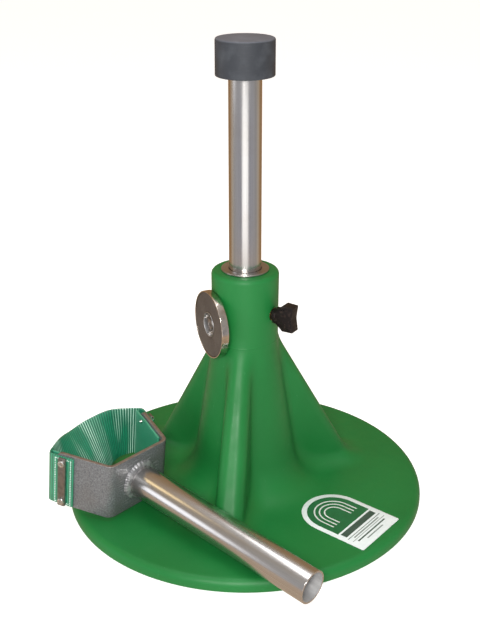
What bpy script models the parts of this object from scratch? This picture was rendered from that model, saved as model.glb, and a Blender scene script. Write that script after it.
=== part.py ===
"""Farrier's hoof stand.

A moulded base with three ribs holds a sliding steel post under a rubber cap. A wing knob
clamps the post, a cup magnet on the collar holds tools, and a loose sling cradle, which can
take the post's place, lies on the base. Metres, +Z up; the origin is the centre of the
underside, and the ribs stand at azimuths 30, 150 and 270 degrees.
"""
import math

import bmesh
import bpy
from mathutils import Vector

# ---- fits
GAP = 0.0003                      # between pieces that touch
ROUND_STEPS = 48                  # facets round the large turned pieces
SMALL_STEPS = 20                  # facets round screws, studs and inserts
CUT_BEYOND = 0.0100               # how far a cutter passes a face that it opens

# ---- post: 1.5 inch tube under a rubber cap
POST_R = 0.01905
POST_WALL = 0.0022
POST_BOTTOM_Z = 0.2050
CAP_R = 0.0338
CAP_BOTTOM_Z = 0.5216
CAP_TOP_Z = 0.5636
CAP_CROWN = 0.0100                # solid rubber above the tube's end
CAP_EDGE_R = 0.0025

# ---- base moulding
DISC_R = 0.2190
RIM_Z = 0.0152                    # disc top where the rim's rounding starts
RIM_EDGE_R = 0.0090
RIM_FOOT_R = 0.0030
DISC_RISE = 0.0025                # fall of the disc top from its inner edge to the rim
DISC_INNER_R = 0.1000
COLLAR_TOP_Z = 0.2915
COLLAR_TOP_R = 0.0402
COLLAR_LOW_R = 0.0393
COLLAR_EDGE_R = 0.0050
COLLAR_LOW_Z = 0.1980
TOWER_FOOT_R = 0.0610             # where the cone meets the foot fillet
TOWER_FOOT_Z = 0.0560
BASE_WALL = 0.0065
SOCKET_FLOOR_Z = 0.1860           # underside of the solid collar
CAVITY_FOOT_R = 0.0740

# ---- ribs
RIB_AZIMUTHS = (30.0, 150.0, 270.0)
RIB_TOP_Z = 0.2060
RIB_TOP_R = 0.0385
RIB_FOOT_Z = 0.0060
RIB_FOOT_R = 0.1500
RIB_HALF_TOP = 0.0135
RIB_HALF_FOOT = 0.0180
RIB_EDGE_R = 0.0115

# ---- steel inside the base
SLEEVE_BORE_R = 0.0195
SLEEVE_R = 0.0225
PLATE_R = 0.0850
PLATE_T = 0.0040
FOOT_SCREW_RING_R = 0.0795
FOOT_SCREWS = 4
FOOT_SCREW_R = 0.0023
FOOT_SCREW_HEAD_R = 0.0042
FOOT_SCREW_HEAD_Z = 0.0005        # face of the head, and where its cone ends
FOOT_SCREW_NECK_Z = 0.0026
FOOT_SCREW_TOP_Z = 0.0120
FOOT_HOLE_TOP_Z = 0.0135
RING_R = 0.0285
RING_T = 0.0020
RING_EDGE = 0.0006

# ---- clamp: wing knob, stud and swivel pad
KNOB_AZIMUTH = 336.0
KNOB_Z = 0.2430
STUD_R = 0.0047
PAD_R = 0.0044
PAD_T = 0.0040
CLAMP_INSERT_R = 0.0078
CLAMP_INSERT_FROM = 0.0262
KNOB_START = 0.0415
KNOB_LENGTH = 0.0280
KNOB_HUB_R = 0.0080
KNOB_HALF_SPAN = 0.0162
KNOB_HALF_THICK = 0.0070
KNOB_LEAN = 0.0                   # degrees that the wings lean from upright
KNOB_SHOULDER = 0.0045            # length of the hub before the wings flare
KNOB_WING_EDGE = 0.0140           # length of a wing's outer edge
KNOB_TAPER = 0.0006
KNOB_DISH = 0.0022
STUD_IN_KNOB = 0.0200

# ---- cup magnet
MAGNET_AZIMUTH = 214.0
MAGNET_Z = 0.2290
MAGNET_R = 0.0406
MAGNET_T = 0.0095
MAGNET_BACK_T = 0.0025
MAGNET_RIM_T = 0.0016
MAGNET_HUB_R = 0.0149
MAGNET_HUB_T = 0.0008
MAGNET_SEAT = 0.0385              # distance of the seat from the post's axis
MAGNET_EDGE = 0.0010
MAGNET_BOLT_R = 0.0040
MAGNET_BOLT_DEPTH = 0.0120
MAGNET_HEAD_R = 0.0068
MAGNET_HEAD_T = 0.0034
MAGNET_HEAD_EDGE = 0.0008
MAGNET_WASHER_R = 0.0090
MAGNET_WASHER_T = 0.0012
MAGNET_INSERT_R = 0.0060
MAGNET_INSERT_FROM = 0.0008       # depths below the cup's back
MAGNET_INSERT_TO = 0.0126

# ---- label
LABEL_AZIMUTH = -29.5
LABEL_OUTER = 0.2055
LABEL_SHIFT = -0.0069
LABEL_L = 0.1040
LABEL_W = 0.0783
LABEL_T = 0.0005

# ---- cradle: origin on the web's outer face, +X along the stem, +Z across the flat bar
CRADLE_AT = (-0.1127, -0.0935, 0.0535)
CRADLE_TURN = (-0.82, 5.22, -32.4)
YOKE_W = 0.0906                   # web width between its sharp corners
YOKE_FLARE = 20.5                 # degrees that each arm leans out
ARM_L = 0.0730
BAR_H = 0.0700
BAR_T = 0.0048
BEND_R = 0.0120
ARM_CORNER_R = 0.0085
STEM_L = 0.2620
WELD_LEG = 0.0048
SLING_H = 0.0660
SLING_T = 0.0026
TAIL_FROM = 0.0485                # along the arm, from the web's corner
LINING_FROM = 0.0120
LINING_TO = 0.0825
SLING_BOW = (                     # from the loop round the left arm's end to the right one's
    (-0.0740, -0.0738),
    (-0.0779, -0.0700),
    (-0.0800, -0.0640),
    (-0.0872, -0.0420),
    (-0.0948, -0.0110),
    (-0.0968, 0.0200),
    (-0.0945, 0.0450),
    (-0.0873, 0.0600),
    (-0.0812, 0.0683),
    (-0.0745, 0.0737),
)
SLING_LEAN = 0.0220               # free span: half of what its top leads its bottom by
SLING_SINK = 0.0100               # and how far its middle moves inward
SLING_LEAN_SKEW = 0.55            # more lean near the left arm, less near the right one
SLING_LEAN_Y = 0.0725
SLING_LEAN_X = -0.0735            # where the lean starts, past the arms' ends
SLING_LEAN_BLEND = 0.0060
CLIP_L = 0.0650
CLIP_W = 0.0095
CLIP_T = 0.0030
CLIP_ALONG = 0.0620
SCREW_SPREAD = 0.0260             # of the sling screws, from the middle of the bar
SCREW_R = 0.0022
SCREW_HEAD_R = 0.0042
SCREW_HEAD_T = 0.0022
SCREW_HEAD_EDGE = 0.0014
SCREW_STICK_OUT = 0.0035

PARTS = None
CUTTERS = None
MATERIALS = {}

FINISHES = {                      # colour, roughness, metallic
    "green_plastic": ((0.030, 0.220, 0.052), 0.42, 0.0),
    "steel": ((0.56, 0.55, 0.52), 0.30, 1.0),
    "rubber": ((0.030, 0.033, 0.042), 0.75, 0.0),
    "chrome": ((0.75, 0.72, 0.68), 0.10, 1.0),
    "ferrite": ((0.075, 0.060, 0.052), 0.70, 0.0),
    "brass": ((0.62, 0.45, 0.20), 0.35, 1.0),
    "black_plastic": ((0.012, 0.011, 0.013), 0.45, 0.0),
    "label_film": ((0.80, 0.81, 0.80), 0.35, 0.0),
    "grey_enamel": ((0.16, 0.17, 0.18), 0.45, 0.3),
    "webbing": ((0.010, 0.300, 0.130), 0.80, 0.0),
}


# ------------------------------------------------------------------ helpers
def clear_scene():
    for obj in list(bpy.data.objects):
        bpy.data.objects.remove(obj)


def new_collection(name):
    collection = bpy.data.collections.new(name)
    bpy.context.scene.collection.children.link(collection)
    return collection


def finish_of(name):
    if name not in MATERIALS:
        colour, roughness, metallic = FINISHES[name]
        material = bpy.data.materials.new(name)
        material.use_nodes = True
        shader = material.node_tree.nodes["Principled BSDF"]
        shader.inputs["Base Color"].default_value = (*colour, 1.0)
        shader.inputs["Roughness"].default_value = roughness
        shader.inputs["Metallic"].default_value = metallic
        MATERIALS[name] = material
    return MATERIALS[name]


def add_object(name, data, finish=None):
    """A part when it has a finish, otherwise a cutter."""
    obj = bpy.data.objects.new(name, data)
    if finish is None:
        CUTTERS.objects.link(obj)
        obj.hide_render = True
        obj.display_type = "WIRE"
    else:
        PARTS.objects.link(obj)
        data.materials.append(finish_of(finish))
    return obj


def place(obj, parent=None, at=(0.0, 0.0, 0.0), turn=(0.0, 0.0, 0.0)):
    obj.parent = parent
    obj.location = at
    obj.rotation_euler = [math.radians(angle) for angle in turn]
    return obj


def new_empty(name, at, turn):
    empty = bpy.data.objects.new(name, None)
    PARTS.objects.link(empty)
    return place(empty, None, at, turn)


def arc(centre, radius, start, end, count):
    """Points on an arc, angles in degrees, both ends included."""
    angles = [math.radians(start + (end - start) * i / count) for i in range(count + 1)]
    return [(centre[0] + radius * math.cos(a), centre[1] + radius * math.sin(a)) for a in angles]


def lathe(name, profile, finish=None, closed=False, steps=ROUND_STEPS):
    """Turn a profile of (radius, height) points, listed down its outer side, round Z."""
    count = len(profile)
    edges = [(i, i + 1) for i in range(count - 1)]
    if closed:
        edges.append((count - 1, 0))
    mesh = bpy.data.meshes.new(name)
    mesh.from_pydata([(r, 0.0, z) for r, z in profile], edges, [])
    obj = add_object(name, mesh, finish)
    screw = obj.modifiers.new("turn", "SCREW")
    screw.steps = steps
    screw.render_steps = steps
    screw.use_merge_vertices = True
    screw.merge_threshold = 0.00001
    screw.use_smooth_shade = True
    return obj


def disc_solid(name, radius, bottom, top, finish=None, steps=SMALL_STEPS):
    return lathe(name, [(0.0, top), (radius, top), (radius, bottom), (0.0, bottom)], finish, steps=steps)


def tube(name, outer, inner, bottom, top, finish, steps=ROUND_STEPS):
    profile = [(outer, top), (outer, bottom), (inner, bottom), (inner, top)]
    return lathe(name, profile, finish, closed=True, steps=steps)


def boolean(target, other, operation="DIFFERENCE"):
    modifier = target.modifiers.new(other.name, "BOOLEAN")
    modifier.operation = operation
    modifier.object = other
    modifier.solver = "EXACT"


def outline_solid(name, points, half_height, finish=None):
    """A flat outline, thickened both ways along Z and made a closed mesh."""
    curve = bpy.data.curves.new(name + "_outline", "CURVE")
    curve.dimensions = "2D"
    curve.fill_mode = "BOTH"
    curve.extrude = half_height
    spline = curve.splines.new("POLY")
    spline.points.add(len(points) - 1)
    for point, (x, y) in zip(spline.points, points):
        point.co = (x, y, 0.0, 1.0)
    spline.use_cyclic_u = True
    drawn = bpy.data.objects.new(name + "_outline", curve)
    PARTS.objects.link(drawn)
    depsgraph = bpy.context.evaluated_depsgraph_get()
    mesh = bpy.data.meshes.new_from_object(drawn.evaluated_get(depsgraph))
    mesh.name = name
    bpy.data.objects.remove(drawn)
    bm = bmesh.new()
    bm.from_mesh(mesh)
    bmesh.ops.remove_doubles(bm, verts=bm.verts, dist=0.00001)
    bmesh.ops.recalc_face_normals(bm, faces=bm.faces)
    bm.to_mesh(mesh)
    bm.free()
    return add_object(name, mesh, finish)


def box_mesh(name, size):
    mesh = bpy.data.meshes.new(name)
    bm = bmesh.new()
    bmesh.ops.create_cube(bm, size=1.0)
    bmesh.ops.scale(bm, vec=Vector(size), verts=bm.verts)
    bm.to_mesh(mesh)
    bm.free()
    return mesh


def radial_empty(name, azimuth, height):
    """An empty on the post's axis whose +Z points outward along the azimuth."""
    return new_empty(name, (0.0, 0.0, height), (0.0, 90.0, azimuth))


def disc_top_z(radius):
    share = (DISC_R - RIM_EDGE_R - radius) / (DISC_R - RIM_EDGE_R - DISC_INNER_R)
    return RIM_Z + DISC_RISE * min(max(share, 0.0), 1.0)


# ------------------------------------------------------------------ base
def base_profile():
    """Collar, cone, foot fillet, disc and rim, from the axis at the top to the axis below."""
    points = [(0.0, COLLAR_TOP_Z)]
    edge = (COLLAR_TOP_R - COLLAR_EDGE_R, COLLAR_TOP_Z - COLLAR_EDGE_R)
    points += arc(edge, COLLAR_EDGE_R, 90.0, 0.0, 4)
    points.append((COLLAR_LOW_R, COLLAR_LOW_Z))
    points.append((TOWER_FOOT_R, TOWER_FOOT_Z))
    foot_end = (DISC_INNER_R, disc_top_z(DISC_INNER_R))
    for i in range(1, 5):
        share = i / 5
        radius = TOWER_FOOT_R + (foot_end[0] - TOWER_FOOT_R) * share ** 1.3
        height = foot_end[1] + (TOWER_FOOT_Z - foot_end[1]) * (1.0 - share) ** 2
        points.append((radius, height))
    points.append(foot_end)
    rim = (DISC_R - RIM_EDGE_R, RIM_Z - RIM_EDGE_R)
    points += arc(rim, RIM_EDGE_R, 90.0, 0.0, 4)
    points += arc((DISC_R - RIM_FOOT_R, RIM_FOOT_R), RIM_FOOT_R, 0.0, -90.0, 2)
    points.append((0.0, 0.0))
    return points


def core_profile():
    """Everything that is hollow about the axis: sleeve bore, tower cavity and plate recess."""
    bore = SLEEVE_R + GAP
    return [
        (0.0, COLLAR_TOP_Z + CUT_BEYOND),
        (bore, COLLAR_TOP_Z + CUT_BEYOND),
        (bore, SOCKET_FLOOR_Z),
        (COLLAR_LOW_R - BASE_WALL, SOCKET_FLOOR_Z - 0.004),
        (TOWER_FOOT_R - BASE_WALL, TOWER_FOOT_Z - 0.006),
        (CAVITY_FOOT_R, PLATE_T + GAP),
        (PLATE_R + GAP, PLATE_T + GAP),
        (PLATE_R + GAP, -CUT_BEYOND),
        (0.0, -CUT_BEYOND),
    ]


def rib_cutter(azimuth):
    """A tapered web whose sloping crest has rounded edges."""
    mesh = bpy.data.meshes.new("rib")
    bm = bmesh.new()
    bmesh.ops.create_cube(bm, size=1.0)
    crest = []
    for vert in bm.verts:
        outer, upper = vert.co.x > 0.0, vert.co.z > 0.0
        side = math.copysign(1.0, vert.co.y)
        half = RIB_HALF_TOP if upper else RIB_HALF_FOOT
        outer_r = RIB_TOP_R if upper else RIB_FOOT_R
        vert.co = (outer_r if outer else SLEEVE_R, side * half, RIB_TOP_Z if upper else RIB_FOOT_Z)
        if outer:
            crest.append(vert)
    sloping = [e for e in bm.edges if e.verts[0] in crest and e.verts[1] in crest
               and abs(e.verts[0].co.z - e.verts[1].co.z) > RIB_EDGE_R]
    bmesh.ops.bevel(bm, geom=sloping, offset=RIB_EDGE_R, segments=3, profile=0.5, affect="EDGES")
    bm.to_mesh(mesh)
    bm.free()
    return place(add_object(f"rib_{azimuth:.0f}", mesh), turn=(0.0, 0.0, azimuth))


def make_base():
    base = lathe("base_moulding", base_profile(), "green_plastic")
    for azimuth in RIB_AZIMUTHS:
        boolean(base, rib_cutter(azimuth), "UNION")
    outside = COLLAR_TOP_R + CUT_BEYOND
    seat = disc_solid("magnet_seat", MAGNET_R + 2 * GAP, MAGNET_SEAT, outside, steps=ROUND_STEPS)
    pocket_floor = MAGNET_SEAT - MAGNET_INSERT_TO - GAP
    pocket = disc_solid("magnet_pocket", MAGNET_INSERT_R + GAP, pocket_floor, outside)
    for cutter in (seat, pocket):
        place(cutter, None, (0.0, 0.0, MAGNET_Z), (0.0, 90.0, MAGNET_AZIMUTH))
        boolean(base, cutter)
    clamp = disc_solid("clamp_pocket", CLAMP_INSERT_R + GAP, SLEEVE_R - GAP, outside)
    boolean(base, place(clamp, None, (0.0, 0.0, KNOB_Z), (0.0, 90.0, KNOB_AZIMUTH)))
    for index in range(FOOT_SCREWS):
        hole = disc_solid(f"foot_screw_hole_{index + 1}", FOOT_SCREW_R + GAP, -CUT_BEYOND, FOOT_HOLE_TOP_Z)
        boolean(base, place(hole, None, foot_screw_place(index)))
    half_step = 180.0 / ROUND_STEPS
    boolean(base, place(lathe("core", core_profile()), turn=(0.0, 0.0, half_step)))


def foot_screw_place(index):
    angle = math.radians(360.0 * (index + 0.5) / FOOT_SCREWS)
    return (FOOT_SCREW_RING_R * math.cos(angle), FOOT_SCREW_RING_R * math.sin(angle), 0.0)


def make_base_steel():
    """Foot plate, its countersunk screws, the guide sleeve and the ring at the sleeve's mouth."""
    plate = disc_solid("foot_plate", PLATE_R, 0.0, PLATE_T, "steel", steps=ROUND_STEPS)
    for index in range(FOOT_SCREWS):
        where = foot_screw_place(index)
        profile = [
            (0.0, FOOT_SCREW_TOP_Z),
            (FOOT_SCREW_R, FOOT_SCREW_TOP_Z),
            (FOOT_SCREW_R, FOOT_SCREW_NECK_Z),
            (FOOT_SCREW_HEAD_R, FOOT_SCREW_HEAD_Z),
            (0.0, FOOT_SCREW_HEAD_Z),
        ]
        screw = lathe(f"foot_screw_{index + 1}", profile, "steel", steps=SMALL_STEPS)
        place(screw, None, where)
        wider = 1.5 * GAP
        profile = [
            (0.0, FOOT_SCREW_TOP_Z),
            (FOOT_SCREW_R + wider, FOOT_SCREW_TOP_Z),
            (FOOT_SCREW_R + wider, FOOT_SCREW_NECK_Z + GAP),
            (FOOT_SCREW_HEAD_R + wider, FOOT_SCREW_HEAD_Z),
            (FOOT_SCREW_HEAD_R + wider, -CUT_BEYOND),
            (0.0, -CUT_BEYOND),
        ]
        hole = lathe(f"countersink_{index + 1}", profile, steps=SMALL_STEPS)
        boolean(plate, place(hole, None, where))
    sleeve = tube("guide_sleeve", SLEEVE_R, SLEEVE_BORE_R, PLATE_T + GAP, COLLAR_TOP_Z, "steel")
    hole = disc_solid("sleeve_hole", PAD_R + 4 * GAP, SLEEVE_BORE_R - CUT_BEYOND, SLEEVE_R + CUT_BEYOND)
    boolean(sleeve, place(hole, None, (0.0, 0.0, KNOB_Z), (0.0, 90.0, KNOB_AZIMUTH)))
    low = COLLAR_TOP_Z + GAP
    profile = [
        (RING_R - RING_EDGE, low + RING_T),
        (RING_R, low + RING_T - RING_EDGE),
        (RING_R, low),
        (SLEEVE_BORE_R, low),
        (SLEEVE_BORE_R, low + RING_T),
    ]
    lathe("mouth_ring", profile, "steel", closed=True)


# ------------------------------------------------------------------ post
def make_post():
    tube_top = CAP_TOP_Z - CAP_CROWN - GAP
    tube("post_tube", POST_R, POST_R - POST_WALL, POST_BOTTOM_Z, tube_top, "steel")
    bore = POST_R + GAP
    profile = [(0.0, CAP_TOP_Z)]
    profile += arc((CAP_R - CAP_EDGE_R, CAP_TOP_Z - CAP_EDGE_R), CAP_EDGE_R, 90.0, 0.0, 3)
    profile += [
        (CAP_R, CAP_BOTTOM_Z + CAP_EDGE_R / 2),
        (CAP_R - CAP_EDGE_R / 2, CAP_BOTTOM_Z),
        (bore, CAP_BOTTOM_Z),
        (bore, CAP_TOP_Z - CAP_CROWN),
        (0.0, CAP_TOP_Z - CAP_CROWN),
    ]
    lathe("post_cap", profile, "rubber")


# ------------------------------------------------------------------ clamp
def knob_outline():
    """A square hub, then wings that flare out to a slightly dished outer face."""
    far = KNOB_START + KNOB_LENGTH
    return [
        (KNOB_HUB_R, KNOB_START),
        (KNOB_HUB_R, KNOB_START + KNOB_SHOULDER),
        (KNOB_HALF_SPAN, far - KNOB_WING_EDGE),
        (KNOB_HALF_SPAN - KNOB_TAPER, far),
        (0.0, far - KNOB_DISH),
        (KNOB_TAPER - KNOB_HALF_SPAN, far),
        (-KNOB_HALF_SPAN, far - KNOB_WING_EDGE),
        (-KNOB_HUB_R, KNOB_START + KNOB_SHOULDER),
        (-KNOB_HUB_R, KNOB_START),
    ]


def make_clamp():
    """Every turned piece here is modelled along the knob's own axis, which is local +Z."""
    frame = radial_empty("knob_axis", KNOB_AZIMUTH, KNOB_Z)
    bore = STUD_R + GAP
    flush = COLLAR_LOW_R - GAP
    insert = tube("clamp_insert", CLAMP_INSERT_R, bore, CLAMP_INSERT_FROM, flush, "brass", SMALL_STEPS)
    place(insert, frame)
    pad_from = POST_R + GAP
    place(disc_solid("clamp_pad", PAD_R, pad_from, pad_from + PAD_T, "brass"), frame)
    stud_from = pad_from + PAD_T + GAP
    stud_to = KNOB_START + STUD_IN_KNOB
    place(disc_solid("clamp_stud", STUD_R, stud_from, stud_to, "steel"), frame)

    knob = outline_solid("clamp_knob", [(y, -z) for y, z in knob_outline()], KNOB_HALF_THICK, "black_plastic")
    bevel = knob.modifiers.new("edges", "BEVEL")
    bevel.width = 0.0008
    bevel.segments = 1
    bevel.limit_method = "ANGLE"
    bevel.angle_limit = math.radians(35.0)
    place(knob, frame, turn=(-90.0, 0.0, KNOB_LEAN))
    hole = disc_solid("knob_bore", bore, KNOB_START - CUT_BEYOND, stud_to + GAP)
    boolean(knob, place(hole, frame))


# ------------------------------------------------------------------ magnet
def make_magnet():
    """Pieces are stacked outward from the cup's back, which is local z = 0."""
    turn = (0.0, 90.0, MAGNET_AZIMUTH)
    angle = math.radians(MAGNET_AZIMUTH)
    back = MAGNET_SEAT + GAP
    frame = new_empty("magnet_axis", (back * math.cos(angle), back * math.sin(angle), MAGNET_Z), turn)
    bore = MAGNET_BOLT_R + GAP
    cup = [
        (MAGNET_R, MAGNET_T),
        (MAGNET_R, MAGNET_EDGE),
        (MAGNET_R - MAGNET_EDGE, 0.0),
        (bore, 0.0),
        (bore, MAGNET_BACK_T),
        (MAGNET_R - MAGNET_RIM_T, MAGNET_BACK_T),
        (MAGNET_R - MAGNET_RIM_T, MAGNET_T),
    ]
    place(lathe("magnet_cup", cup, "chrome", closed=True), frame)
    floor = MAGNET_BACK_T + GAP
    outer = MAGNET_R - MAGNET_RIM_T - GAP
    face = MAGNET_T - GAP
    place(tube("magnet_ring", outer, MAGNET_HUB_R + GAP, floor, face, "ferrite"), frame)
    place(tube("magnet_hub", MAGNET_HUB_R, MAGNET_HUB_R - MAGNET_HUB_T, floor, face, "steel"), frame)
    washer_top = floor + MAGNET_WASHER_T
    place(tube("magnet_washer", MAGNET_WASHER_R, bore, floor, washer_top, "steel", SMALL_STEPS), frame)
    head = washer_top + GAP
    bolt = [
        (0.0, head + MAGNET_HEAD_T),
        (MAGNET_HEAD_R - MAGNET_HEAD_EDGE, head + MAGNET_HEAD_T),
        (MAGNET_HEAD_R, head + MAGNET_HEAD_T - MAGNET_HEAD_EDGE),
        (MAGNET_HEAD_R, head),
        (MAGNET_BOLT_R, head),
        (MAGNET_BOLT_R, -MAGNET_BOLT_DEPTH),
        (0.0, -MAGNET_BOLT_DEPTH),
    ]
    place(lathe("magnet_bolt", bolt, "steel", steps=SMALL_STEPS), frame)
    low, high = -MAGNET_INSERT_TO, -MAGNET_INSERT_FROM
    place(tube("magnet_insert", MAGNET_INSERT_R, bore, low, high, "brass", SMALL_STEPS), frame)


# ------------------------------------------------------------------ label
def make_label():
    """A film with a straight outer edge and an arched inner end, laid on the disc's slope."""
    half = LABEL_W / 2
    arch = arc((half - LABEL_L / 2, 0.0), half, 90.0, 270.0, 14)
    points = [(LABEL_L / 2, half), *arch, (LABEL_L / 2, -half)]
    label = outline_solid("label", points, LABEL_T / 2, "label_film")
    angle = math.radians(LABEL_AZIMUTH)
    outward = LABEL_OUTER - LABEL_L / 2
    x = outward * math.cos(angle) - LABEL_SHIFT * math.sin(angle)
    y = outward * math.sin(angle) + LABEL_SHIFT * math.cos(angle)
    slope = math.degrees(math.atan(DISC_RISE / (DISC_R - RIM_EDGE_R - DISC_INNER_R)))
    z = disc_top_z(math.hypot(x, y)) + LABEL_T / 2 + GAP
    place(label, None, (x, y, z), (0.0, slope, LABEL_AZIMUTH))


# ------------------------------------------------------------------ cradle
def arm_frame(side):
    """Corner, direction along the arm and outward normal of one arm's outer face."""
    flare = math.radians(YOKE_FLARE)
    corner = Vector((0.0, side * YOKE_W / 2))
    along = Vector((-math.cos(flare), side * math.sin(flare)))
    outward = Vector((math.sin(flare), side * math.cos(flare)))
    return corner, along, outward


def arm_point(side, distance, offset):
    corner, along, outward = arm_frame(side)
    return corner + along * distance + outward * offset


def offset_band(path, half):
    """The outline of a band that follows a path, with square ends."""
    left, right = [], []
    for i, point in enumerate(path):
        ahead = path[min(i + 1, len(path) - 1)] - path[max(i - 1, 0)]
        normal = Vector((-ahead.y, ahead.x)).normalized()
        left.append(tuple(point + normal * half))
        right.append(tuple(point - normal * half))
    return left + right[::-1]


def bent_corner(side, radius):
    """Points round one bend of the flat bar, from the web to the arm."""
    turn = 90.0 - YOKE_FLARE
    reach = BEND_R * math.tan(math.radians(turn / 2))
    return arc((-BEND_R, side * (YOKE_W / 2 - reach)), radius, 0.0, side * turn, 4)


def make_yoke():
    outer = [arm_point(1, ARM_L, 0.0), *bent_corner(1, BEND_R)[::-1]]
    outer += [*bent_corner(-1, BEND_R), arm_point(-1, ARM_L, 0.0)]
    inner_r = BEND_R - BAR_T
    inner = [arm_point(-1, ARM_L, -BAR_T), *bent_corner(-1, inner_r)[::-1]]
    inner += [*bent_corner(1, inner_r), arm_point(1, ARM_L, -BAR_T)]
    yoke = outline_solid("cradle_yoke", outer + inner, BAR_H / 2, "grey_enamel")
    round_arm_corners(yoke)
    return yoke


def round_arm_corners(yoke):
    """Round the four free corners of the flat bar."""
    bm = bmesh.new()
    bm.from_mesh(yoke.data)
    bmesh.ops.dissolve_limit(bm, angle_limit=math.radians(1.0), verts=bm.verts, edges=bm.edges)
    ends = []
    for side in (-1, 1):
        outer = arm_point(side, ARM_L, 0.0)
        inner = arm_point(side, ARM_L, -BAR_T)
        for edge in bm.edges:
            flat = [Vector((v.co.x, v.co.y)) for v in edge.verts]
            level = abs(edge.verts[0].co.z - edge.verts[1].co.z) < 0.0001
            joins = {min((p - outer).length, (p - inner).length) < 0.0001 for p in flat} == {True}
            if level and joins:
                ends.append(edge)
    bmesh.ops.bevel(bm, geom=ends, offset=ARM_CORNER_R, segments=4, profile=0.5, affect="EDGES")
    bm.to_mesh(yoke.data)
    bm.free()


def smooth_path(points, per_span):
    """A Catmull-Rom curve through the points."""
    ends = [points[0] * 2 - points[1], *points, points[-1] * 2 - points[-2]]
    path = []
    for i in range(len(points) - 1):
        p0, p1, p2, p3 = ends[i:i + 4]
        for step in range(per_span):
            t = step / per_span
            path.append(0.5 * (2 * p1 + (p2 - p0) * t + (2 * p0 - 5 * p1 + 4 * p2 - p3) * t * t
                               + (3 * p1 - p0 - 3 * p2 + p3) * t ** 3))
    path.append(points[-1])
    return path


def sling_path():
    """Centre line of the webbing: outer tail, loop round the arm, free span, loop, outer tail."""
    lie = GAP + SLING_T / 2
    bow = [Vector(point) for point in SLING_BOW]
    free = smooth_path([arm_point(-1, ARM_L - 0.001, lie), *bow, arm_point(1, ARM_L - 0.001, lie)], 3)
    return [arm_point(-1, TAIL_FROM, lie), *free, arm_point(1, TAIL_FROM, lie)]


def lean_sling(mesh):
    """Tip the free span's top outward and its bottom inward, most of all near the left arm."""
    for vert in mesh.vertices:
        side = vert.co.y / SLING_LEAN_Y
        past_arms = min(max((SLING_LEAN_X - vert.co.x) / SLING_LEAN_BLEND, 0.0), 1.0)
        share = past_arms * max(1.0 - side ** 2, 0.0) ** 1.5 * (1.0 - SLING_LEAN_SKEW * side)
        level = vert.co.z / (SLING_H / 2)
        upright = math.sqrt(1.0 - (2 * SLING_LEAN * share / SLING_H) ** 2)
        vert.co.x -= share * (SLING_LEAN * level - SLING_SINK)
        vert.co.z *= upright


def make_sling():
    sling = outline_solid("sling", offset_band(sling_path(), SLING_T / 2), SLING_H / 2, "webbing")
    lean_sling(sling.data)
    under = -BAR_T - GAP - SLING_T / 2
    for side, name in ((-1, "left"), (1, "right")):
        lining = [arm_point(side, LINING_FROM, under), arm_point(side, LINING_TO, under)]
        strip = outline_solid(f"lining_{name}", offset_band(lining, SLING_T / 2), SLING_H / 2 - 0.0004)
        boolean(sling, strip, "UNION")
    return sling


def make_clip(side, name, frame):
    """A flat bar with two holes that holds the sling's tail against the arm."""
    flare = side * (90.0 - YOKE_FLARE)
    clip = add_object(f"sling_clip_{name}", box_mesh("clip", (CLIP_T, CLIP_W, CLIP_L)), "steel")
    centre = arm_point(side, CLIP_ALONG, 2 * GAP + SLING_T + CLIP_T / 2)
    return place(clip, frame, (centre.x, centre.y, 0.0), (0.0, 0.0, flare))


def make_cradle():
    frame = new_empty("cradle_frame", CRADLE_AT, CRADLE_TURN)
    yoke = place(make_yoke(), frame)
    sling = place(make_sling(), frame)
    for strip in ("lining_left", "lining_right"):
        bpy.data.objects[strip].parent = frame

    stem = tube("cradle_stem", POST_R, POST_R - POST_WALL, GAP, STEM_L, "steel")
    place(stem, frame, turn=(0.0, 90.0, 0.0))
    weld_r = POST_R + GAP
    profile = [(weld_r, GAP + WELD_LEG), (weld_r + WELD_LEG, GAP), (weld_r, GAP)]
    place(lathe("stem_weld", profile, "steel", closed=True), frame, turn=(0.0, 90.0, 0.0))

    outside = 3 * GAP + SLING_T + CLIP_T
    through = BAR_T + 2 * SLING_T + CLIP_T + SCREW_STICK_OUT
    number = 0
    for side, name in ((-1, "left"), (1, "right")):
        clip = make_clip(side, name, frame)
        for level in (-SCREW_SPREAD, SCREW_SPREAD):
            number += 1
            at = (*arm_point(side, CLIP_ALONG, outside), level)
            turn = (0.0, 90.0, side * (90.0 - YOKE_FLARE))
            profile = [
                (0.0, SCREW_HEAD_T),
                (SCREW_HEAD_R - SCREW_HEAD_EDGE, SCREW_HEAD_T),
                (SCREW_HEAD_R, SCREW_HEAD_T - SCREW_HEAD_EDGE),
                (SCREW_HEAD_R, 0.0),
                (SCREW_R, 0.0),
                (SCREW_R, -through),
                (0.0, -through),
            ]
            screw = lathe(f"sling_screw_{number}", profile, "steel", steps=16)
            place(screw, frame, at, turn)
            far = through + CUT_BEYOND
            hole = disc_solid(f"sling_hole_{number}", SCREW_R + GAP, -far, CUT_BEYOND, steps=12)
            place(hole, frame, at, turn)
            for piece in (yoke, sling, clip):
                boolean(piece, hole)


def main():
    global PARTS, CUTTERS
    clear_scene()
    PARTS = new_collection("hoof_stand")
    CUTTERS = new_collection("cutters")
    make_base()
    make_base_steel()
    make_post()
    make_clamp()
    make_magnet()
    make_label()
    make_cradle()


main()
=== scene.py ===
"""Looks of the farrier's hoof stand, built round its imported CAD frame.

Fine shells stand for the CAD's faceted pieces: a moulded base whose ribs and tower blend into the
disc, turned steel and rubber, a bent and enamelled yoke, ribbed webbing with its stitches, and a
plain printed label. Every piece keeps the CAD's frame: metres, +Z up, origin under the base.
"""

import math

import bmesh
import bpy
import numpy as np
from mathutils import Euler, Matrix, Vector


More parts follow.
